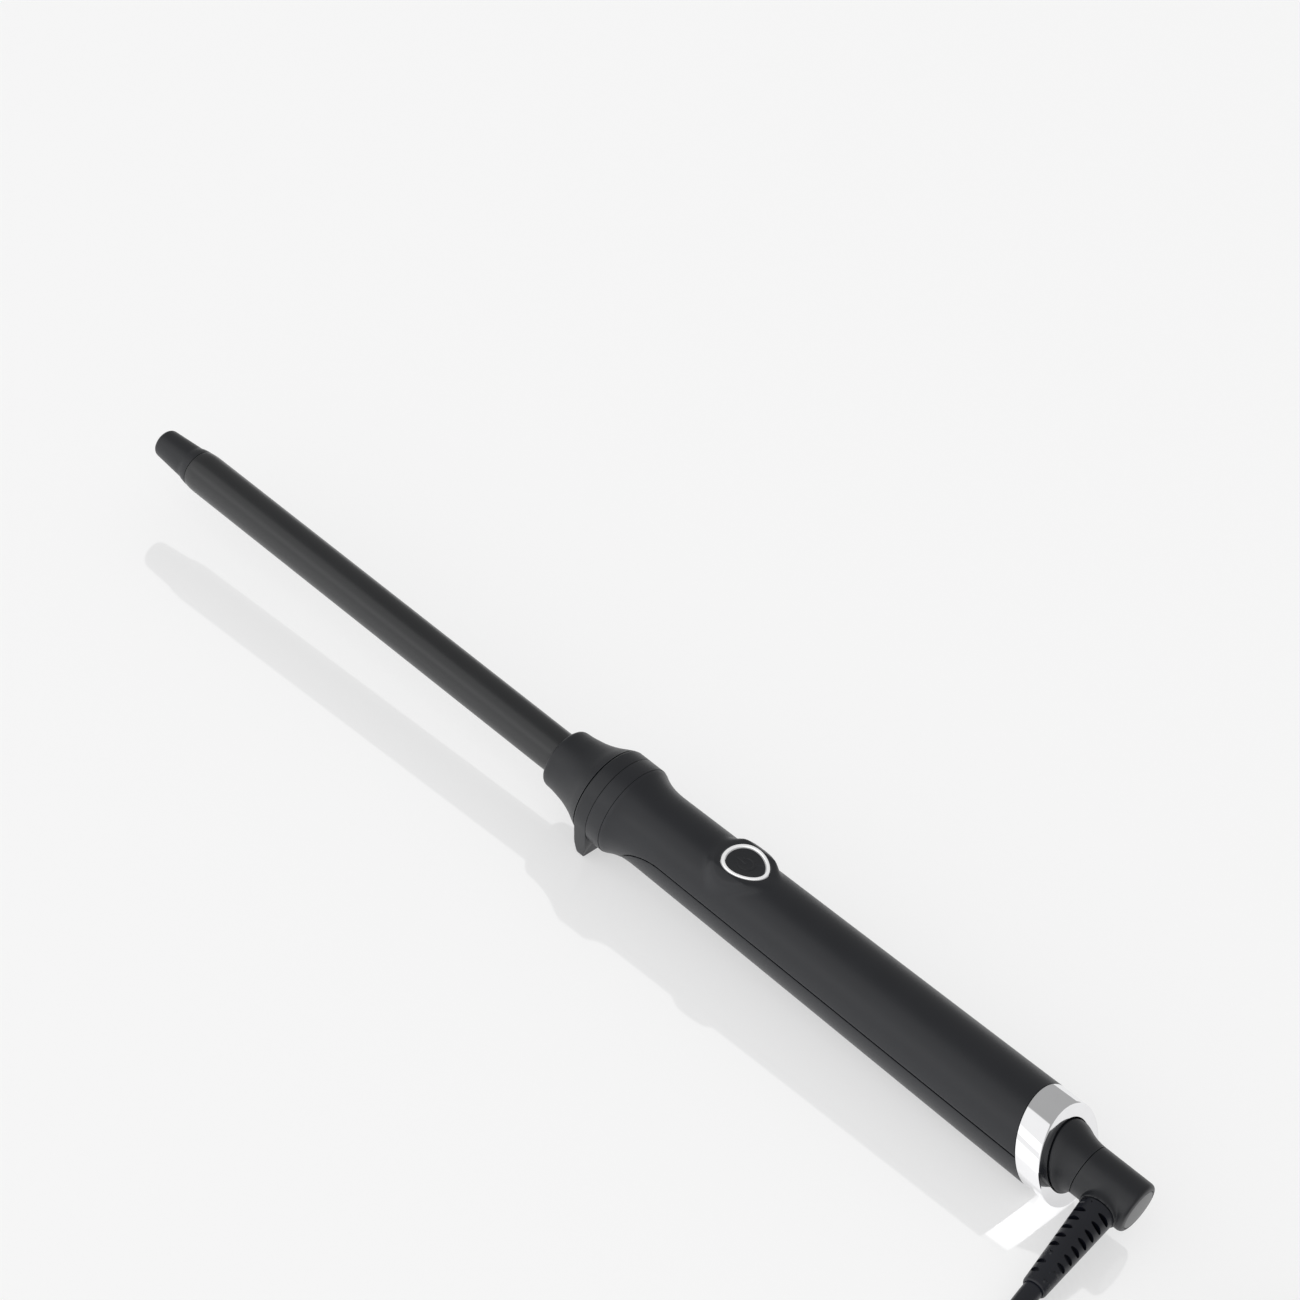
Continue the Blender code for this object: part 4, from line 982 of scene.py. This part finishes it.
def make_bell():
    low = span("swivel_bell")[0]
    base = span("rear_collar")[1].x - SLANT * span("rear_collar")[1].y
    bore, rim = 5.7 * MM, 10.18 * MM
    root = span("rear_collar")[1].y - 2.6 * MM
    shelf = base - 2.8 * MM
    flare = [(0.0, 0.86), (0.03, 0.965), (0.08, 1.0), (0.16, 0.96), (0.27, 0.8)]
    flare += [(0.42, 0.5), (0.6, 0.24), (0.8, 0.07), (1.0, 0.0)]
    end = SWIVEL_X - HAIRLINE
    outside = []
    for along, swell, _ in flowing([(a, s, 0.0) for a, s in flare], 4):
        radius = ELBOW_R + (rim - ELBOW_R) * swell
        outside.append((base + (end - base) * along, radius, SLANT * (1.0 - along)))
    neck = rim - 0.3 * MM
    front = low.x + 3.2 * MM
    section = [(front, bore, 0.0), (front, root, 0.0), (shelf, root, SLANT), (shelf, neck, SLANT)]
    section += [(base - 0.6 * MM, neck, SLANT), *outside, (end, bore, 0.0)]
    publish("bell", turned(section), "heat_plastic", "wand", "swivel_bell", sharp=50.0)


def soft_most(first, second, blend):
    """The larger number, eased where the two are close."""
    near = max(blend - abs(first - second), 0.0)
    return max(first, second) + near * near / (4.0 * blend)


def boss_reach(x, r, facing):
    """Distance from the elbow's axis to its surface, where a round boss stands out along the relief."""
    lean = RELIEF_WAY.x * (x - RELIEF_X)
    top = (RELIEF_START - HAIRLINE - lean) / RELIEF_WAY.yz.length / facing
    along = (x - RELIEF_X) - RELIEF_WAY.x * RELIEF_START
    half = math.sqrt(max(BOSS_R**2 - along**2, 0.0))
    side = half / max(math.sqrt(1.0 - min(facing, 1.0) ** 2), 0.02)
    boss = -soft_most(-top, -side, 0.5 * MM)
    return soft_most(r, boss, 1.8 * MM)


def make_elbow():
    """The elbow's barrel, raised into an arched boss where the strain relief leaves it."""
    low, high = span("cord_elbow")
    start, end = low.x - GAP + HAIRLINE, high.x
    socket_r, disc_r = 4.4 * MM, 6.55 * MM
    wall = [(x, ELBOW_R, 0.0) for x in spread(start + 0.5 * MM, end - 1.9 * MM, 78)]
    corners = [(start, socket_r, 0.0), (start, ELBOW_R, 0.2 * MM), (start + 0.5 * MM, ELBOW_R, 0.0)]
    lip = rounded(corners, 6, False)
    nose = rounded(
        [
            (end - 1.9 * MM, ELBOW_R, 0.0),
            (end, ELBOW_R, 1.75 * MM),
            (end, disc_r, 0.12 * MM),
            (end - 1.5 * MM, disc_r, 0.0),
            (end - 1.5 * MM, 0.2 * MM, 0.0),
        ],
        10,
        False,
    )
    socket = [(start + 5.5 * MM, 0.2 * MM, 0.0), (start + 5.5 * MM, socket_r, 0.0)]
    section = socket + lip[:-1] + wall + nose[1:]
    rings = rings_of(section, 200)
    cross = RELIEF_WAY.yz.normalized()
    for ring, (x, r, _) in zip(rings, section):
        if r < ELBOW_R - 1.2 * MM:
            continue
        for i, (_, y, z) in enumerate(ring):
            facing = (y * cross.x + z * cross.y) / r
            if facing > 0.2:
                size = boss_reach(x, r, facing) / r
                ring[i] = (x, y * size, z * size)
    publish("elbow", skin(rings, False), "heat_plastic", "swivel", "cord_elbow", sharp=50.0)


def make_disc():
    low, high = span("elbow_cap")
    section = rounded(
        [
            (low.x, 0.2 * MM, 0.0),
            (low.x, high.y, 0.1 * MM),
            (high.x - 0.1 * MM, high.y, 0.35 * MM),
            (high.x, 3.0 * MM, 1.0 * MM),
            (high.x, 0.2 * MM, 0.0),
        ],
        7,
        False,
    )
    publish("elbow_disc", turned(section, SMALL_ROUND, False), "cap_grey", "swivel", "elbow_cap")


def slot_rule():
    """Cuts rows of slots through a tapered sleeve that lies along X: two staggered pairs of rows."""
    names = ("Pitch", "First", "Slot width", "Slot length", "Floor", "Narrowing")
    sizes = {"Slots": 1, **dict.fromkeys(names, 0.0)}
    tree, sleeve, size = geometry_tree("slot_rule", sizes)
    depth = 6.0 * MM
    tool = place_node(
        tree,
        "GeometryNodeMeshCylinder",
        {"Vertices": 20, "Radius": 0.5, "Depth": 1.0},
    )
    cutters = None
    for row in range(4):
        shift = size["First"] + size["Pitch"] * (0.5 * (row % 2))
        start = place_node(tree, "ShaderNodeCombineXYZ", {0: shift, 2: size["Floor"] + depth / 2})
        step = place_node(tree, "ShaderNodeCombineXYZ", {0: size["Pitch"]})
        stations = place_node(
            tree,
            "GeometryNodeMeshLine",
            {"Count": size["Slots"], "Start Location": start.outputs[0], "Offset": step.outputs[0]},
        )
        index = Field(tree, place_node(tree, "GeometryNodeInputIndex").outputs[0])
        long = size["Slot length"] - size["Narrowing"] * index
        scale = place_node(tree, "ShaderNodeCombineXYZ", {0: size["Slot width"], 1: long, 2: depth})
        copies = place_node(
            tree,
            "GeometryNodeInstanceOnPoints",
            {
                "Points": stations.outputs["Mesh"],
                "Instance": tool.outputs["Mesh"],
                "Scale": scale.outputs[0],
            },
        )
        settings = {"Geometry": copies.outputs[0], "Rotation": (math.radians(45.0 + 90.0 * row), 0.0, 0.0)}
        turned_row = place_node(tree, "GeometryNodeTransform", settings)
        joined = place_node(tree, "GeometryNodeJoinGeometry")
        for part in (cutters, turned_row.outputs[0]):
            if part is not None:
                tree.links.new(part, joined.inputs[0])
        cutters = joined.outputs[0]
    real = place_node(tree, "GeometryNodeRealizeInstances", {"Geometry": cutters})
    slotted = place_node(tree, "GeometryNodeMeshBoolean", operation="DIFFERENCE")
    tree.links.new(sleeve, slotted.inputs[0])
    tree.links.new(real.outputs[0], slotted.inputs[1])
    finish_tree(tree, slotted.outputs[0], FINISHES["rubber"])
    return tree


def make_relief():
    root, tip, end = RELIEF_ROOT_R, RELIEF_TIP_R, RELIEF_END
    hole = CORD_R + 0.12 * MM
    corners = [
        (RELIEF_START, 0.2 * MM, 0.0),
        (RELIEF_START, root, 0.3 * MM),
        (end, tip, 0.9 * MM),
        (end, hole, 0.3 * MM),
        (end - 1.2 * MM, hole, 0.0),
        (end - 1.2 * MM, 0.2 * MM, 0.0),
    ]
    section = rounded(corners, 8, False)
    taper = (tip - root) / (end - RELIEF_START)
    stations = spread(RELIEF_START + 1.0 * MM, end - 1.5 * MM, 40)
    along = [(x, root + taper * (x - RELIEF_START)) for x in stations]
    middle = next(i for i, (x, _, _) in enumerate(section) if x > RELIEF_START + 0.6 * MM)
    section = section[:middle] + [(x, r, 0.0) for x, r in along] + section[middle:]
    blank = mesh_of(turned(section, SMALL_ROUND, False), "sleeve")
    sizes = {
        "Slots": SLOT_COUNT,
        "Pitch": SLOT_PITCH,
        "First": RELIEF_START + 1.5 * MM,
        "Slot width": 1.55 * MM,
        "Slot length": 5.2 * MM,
        "Floor": 3.1 * MM,
        "Narrowing": 0.22 * MM,
    }
    mesh = grown("relief_sleeve", blank, slot_rule(), sizes)
    publish_mesh("relief_sleeve", mesh, "swivel", "strain_relief", WAND @ relief_axes())


# Cord, coil, tie and plug


def coil_points():
    """Turns laid in a section four wide and three high, each one moving on to the next place in it."""
    wide = [1.5, 0.5, -0.5, -1.5]
    order = [(0, 0), (1, 0), (2, 0), (3, 0), (3, 1), (3, 2), (2, 2), (2, 1), (1, 1), (1, 2), (0, 2), (0, 1)]
    per_turn = 36
    start = math.radians(-90.0)
    turns = len(order) - 1
    points = []
    for i in range(turns * per_turn + 1):
        place = min(i / per_turn, turns)
        whole = min(int(place), turns - 1)
        share = place - whole
        (a, b), (c, d) = order[whole], order[whole + 1]
        radius = COIL_R + COIL_PITCH * (wide[a] + (wide[c] - wide[a]) * share)
        height = COIL_LIFT + CORD_R + COIL_PITCH * (b + (d - b) * share)
        turn = start + 2.0 * math.pi * i / per_turn
        points.append(COIL_MIDDLE + Vector((radius * math.cos(turn), radius * math.sin(turn), height)))
    return points


def make_cord():
    way = (WAND @ relief_axes()).to_3x3() @ Vector((1.0, 0.0, 0.0))
    mouth = (WAND @ relief_axes()) @ Vector((RELIEF_END - 1.0 * MM, 0.0, 0.0))
    run = (
        (201.9, -55.5, 3.5),
        (207.4, -64.3, 3.1),
        (215.8, -69.3, 3.1),
        (225.5, -71.0, 3.1),
        (238.5, -71.2, 3.1),
        (252.0, -70.9, 3.2),
        (265.3, -70.7, 3.4),
        (277.5, -70.5, 3.8),
    )
    tail = (
        (301.0, -70.6, 9.5),
        (313.0, -70.5, 7.1),
        (323.0, -69.7, 5.0),
        (333.0, -66.4, 4.6),
        (341.6, -61.2, 5.3),
        (347.3, -54.4, 6.3),
        (349.4, -49.2, 6.8),
        (349.5, -44.3, 6.9),
    )
    lead_out = [mouth, mouth + 7.0 * MM * way, *(Vector(point) * MM for point in run)]
    lead_in = [Vector(point) * MM for point in tail]
    coil = coil_points()
    path = flowing([*lead_out, *coil[:2]], 3)[:-3] + coil[:-1] + flowing([coil[-1], *lead_in], 4)
    curve = bpy.data.curves.new("cord", "CURVE")
    curve.dimensions = "3D"
    spline = curve.splines.new("POLY")
    spline.points.add(len(path) - 1)
    for point, place in zip(spline.points, path):
        point.co = (*place, 1.0)
    curve.bevel_depth = CORD_R
    curve.bevel_resolution = 6
    curve.use_fill_caps = True
    curve.materials.append(FINISHES["rubber"])
    cord = bpy.data.objects.new("cord", curve)
    bpy.context.scene.collection.objects.link(cord)
    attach(cord, "swivel")
    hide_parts("cord_run", "cord_coil", "cord_tail")
    return cord, mouth


def make_tie():
    """A hook-and-loop band round the coil's section."""
    out = Vector((math.cos(TIE_ANGLE), math.sin(TIE_ANGLE)))
    outward = Vector((out.x, out.y, 0.0))
    along = Vector((-out.y, out.x, 0.0))
    wide, high = 24.0 * MM + 3.6 * MM, 18.0 * MM + 0.7 * MM
    centre = COIL_MIDDLE + outward * COIL_R + Vector((0.0, 0.0, COIL_LIFT + 9.0 * MM))
    corner, thick, half = 2.6 * MM, 0.6 * MM, 4.5 * MM
    loop = []
    for qx, qz, start in ((1, 1, 0.0), (-1, 1, 90.0), (-1, -1, 180.0), (1, -1, 270.0)):
        for t in spread(math.radians(start), math.radians(start + 90.0), 7):
            loop.append(
                (qx * (wide / 2 - corner), qz * (high / 2 - corner), math.cos(t), math.sin(t))
            )
    rings = []
    for x, z, c, s in loop:
        ring = []
        top_half = half - 0.15 * MM
        for lift, side in ((0.0, -half), (0.0, half), (thick, top_half), (thick, -top_half)):
            reach = corner + lift
            ring.append(centre + outward * (x + reach * c) + Vector((0, 0, z + reach * s)) + along * side)
        rings.append(ring)
    bm = skin(rings, True)
    return publish("coil_band", bm, "part_black", "swivel", "coil_tie", Matrix.Identity(4))


def make_plug():
    """A moulded two-pin plug: grip ridges on its body, a ribbed relief, and round-ended pins."""
    body_low, body_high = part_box("plug_body")
    centre_x, centre_z = (body_low.x + body_high.x) / 2, (body_low.z + body_high.z) / 2
    back, face = body_low.y, body_high.y
    long = face - back
    profile = flowing(
        [
            (0.0, 4.9, 4.9),
            (0.1, 6.0, 5.3),
            (0.24, 7.6, 5.9),
            (0.42, 9.6, 6.3),
            (0.58, 11.5, 6.55),
            (0.74, 12.7, 6.65),
            (0.95, 13.2, 6.7),
        ],
        8,
    )
    rings = []
    for share, wide, high in profile + [(0.985, 13.0, 6.5), (1.0, 12.6, 6.1)]:
        ridge = 0.28 * max(0.0, math.sin(share * 75.0)) if 0.2 < share < 0.6 else 0.0
        ring = []
        for t in spread(0.0, 2.0 * math.pi, 96, False):
            c, s = math.cos(t), math.sin(t)
            side = (wide - ridge * abs(c)) * MM * math.copysign(abs(c) ** 0.6, c)
            rise = high * MM * math.copysign(abs(s) ** 0.6, s)
            ring.append((centre_x + side, back + long * share, centre_z + rise))
        rings.append(ring)
    shell = publish("plug_shell", skin(rings, False), "rubber", "swivel", "plug_body", Matrix.Identity(4))
    boot_low, boot_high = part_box("plug_relief")
    turn = Matrix.Translation((centre_x, boot_low.y, centre_z)) @ Matrix.Rotation(math.radians(90.0), 4, "Z")
    boot_long = boot_high.y - boot_low.y
    section = [(0.0, 0.3 * MM, 0.0), (0.0, 3.2 * MM, 0.0)]
    ribs = 5
    for i in range(ribs):
        at = boot_long * (0.1 + 0.82 * i / ribs)
        size = (3.4 + 1.1 * i / ribs) * MM
        section += [(at, size - 0.3 * MM, 0.0), (at + 0.25 * MM, size + 0.15 * MM, 0.0)]
        section += [(at + 1.25 * MM, size + 0.25 * MM, 0.0), (at + 1.5 * MM, size - 0.2 * MM, 0.0)]
    section += [(boot_long, 4.6 * MM, 0.0), (boot_long, 0.3 * MM, 0.0)]
    boot = publish("plug_boot", turned(section, 48, False), "rubber", "swivel", "plug_relief", turn)
    pieces = [shell, boot]
    for number in (1, 2):
        low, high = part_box(f"plug_pin_{number}")
        foot = Vector(((low.x + high.x) / 2, low.y, centre_z))
        place = Matrix.Translation(foot) @ Matrix.Rotation(math.radians(90.0), 4, "Z")
        radius, reach = (high.x - low.x) / 2, high.y - low.y
        core = 0.2 * MM
        corners = [(0.0, core, 0.0), (0.0, radius, 0.0), (reach, radius, 1.1 * MM), (reach, core, 0.0)]
        pin = turned(rounded(corners, 8, False), 40, False)
        pieces.append(publish(f"pin_{number}", pin, "steel", "swivel", f"plug_pin_{number}", place))
    return pieces


# Inner pieces, stage, light and camera


def finish_inner_nodes():
    """The inner pieces keep their CAD shape and take a worked finish each."""
    slots = {part["node"]: part["material_slot"] for part in frame["record"]["subparts"]}
    for name, node in frame["nodes"].items():
        if not node.hide_render:
            node.data.materials.clear()
            node.data.materials.append(FINISHES[slots[name]])


def make_floor():
    side, level = 6.0, -0.1 * MM
    bm = bmesh.new()
    places = ((-side, -side), (side, -side), (side, side), (-side, side))
    corners = [bm.verts.new((x, y, level)) for x, y in places]
    bm.faces.new(corners)
    mesh = bpy.data.meshes.new("table")
    bm.to_mesh(mesh)
    bm.free()
    table = bpy.data.objects.new("table", mesh)
    bpy.context.scene.collection.objects.link(table)
    paint = Paint("table_gloss", roughness=0.06, IOR=3.3, Emission_Strength=TABLE_GLOW)
    paint.shader.inputs["Emission Color"].default_value = (1.0, 1.0, 1.0, 1.0)
    paint.shader.inputs["Base Color"].default_value = (0.55, 0.55, 0.55, 1.0)
    mesh.materials.append(paint.material)


def add_light(name, place, target, size, power, seen=True):
    light = bpy.data.lights.new(name, "AREA")
    light.shape = "RECTANGLE"
    light.size, light.size_y = size
    light.energy = power
    obj = bpy.data.objects.new(name, light)
    obj.location = place
    obj.rotation_euler = (Vector(target) - Vector(place)).to_track_quat("-Z", "Y").to_euler()
    obj.visible_glossy = seen
    bpy.context.scene.collection.objects.link(obj)


def make_studio():
    """A grey room that is white on the near side, with a low softbox there."""
    world = bpy.data.worlds.new("studio")
    bpy.context.scene.world = world
    world.use_nodes = True
    tree = world.node_tree
    way = place_node(tree, "ShaderNodeTexCoord")
    parts = place_node(tree, "ShaderNodeSeparateXYZ", {0: way.outputs["Generated"]})
    near = ((Field(tree, parts.outputs["Y"]) + 0.2) / -0.06).smooth()
    light = near * (NEAR_ROOM - FAR_ROOM) + FAR_ROOM
    tree.links.new(light.socket, tree.nodes["Background"].inputs["Strength"])
    tree.nodes["Background"].inputs["Color"].default_value = (1.0, 1.0, 1.0, 1.0)
    add_light("near_softbox", (-0.6, -2.0, 0.85), (0.0, 0.0, 0.02), (3.0, 0.75), 3.5)
    bpy.context.scene.view_settings.view_transform = "Standard"


def make_camera():
    camera = bpy.data.cameras.new("camera")
    camera.lens = CAMERA_LENS
    camera.sensor_width = CAMERA_SENSOR
    obj = bpy.data.objects.new("camera", camera)
    aim = (CAMERA_TARGET - CAMERA_PLACE).to_track_quat("-Z", "Y").to_matrix().to_4x4()
    obj.matrix_world = Matrix.Translation(CAMERA_PLACE) @ aim @ Matrix.Rotation(CAMERA_ROLL, 4, "Z")
    bpy.context.scene.collection.objects.link(obj)
    bpy.context.scene.camera = obj


make_camera()
cord, cord_exit = make_cord()
tie = make_tie()
plug_pieces = make_plug()
make_barrel()
make_tip()
make_nose()
make_flange()
make_ring()
make_handle()
make_collar()
make_bezel()
make_button()
make_bell()
make_elbow()
make_disc()
make_relief()
finish_inner_nodes()
make_floor()
make_studio()
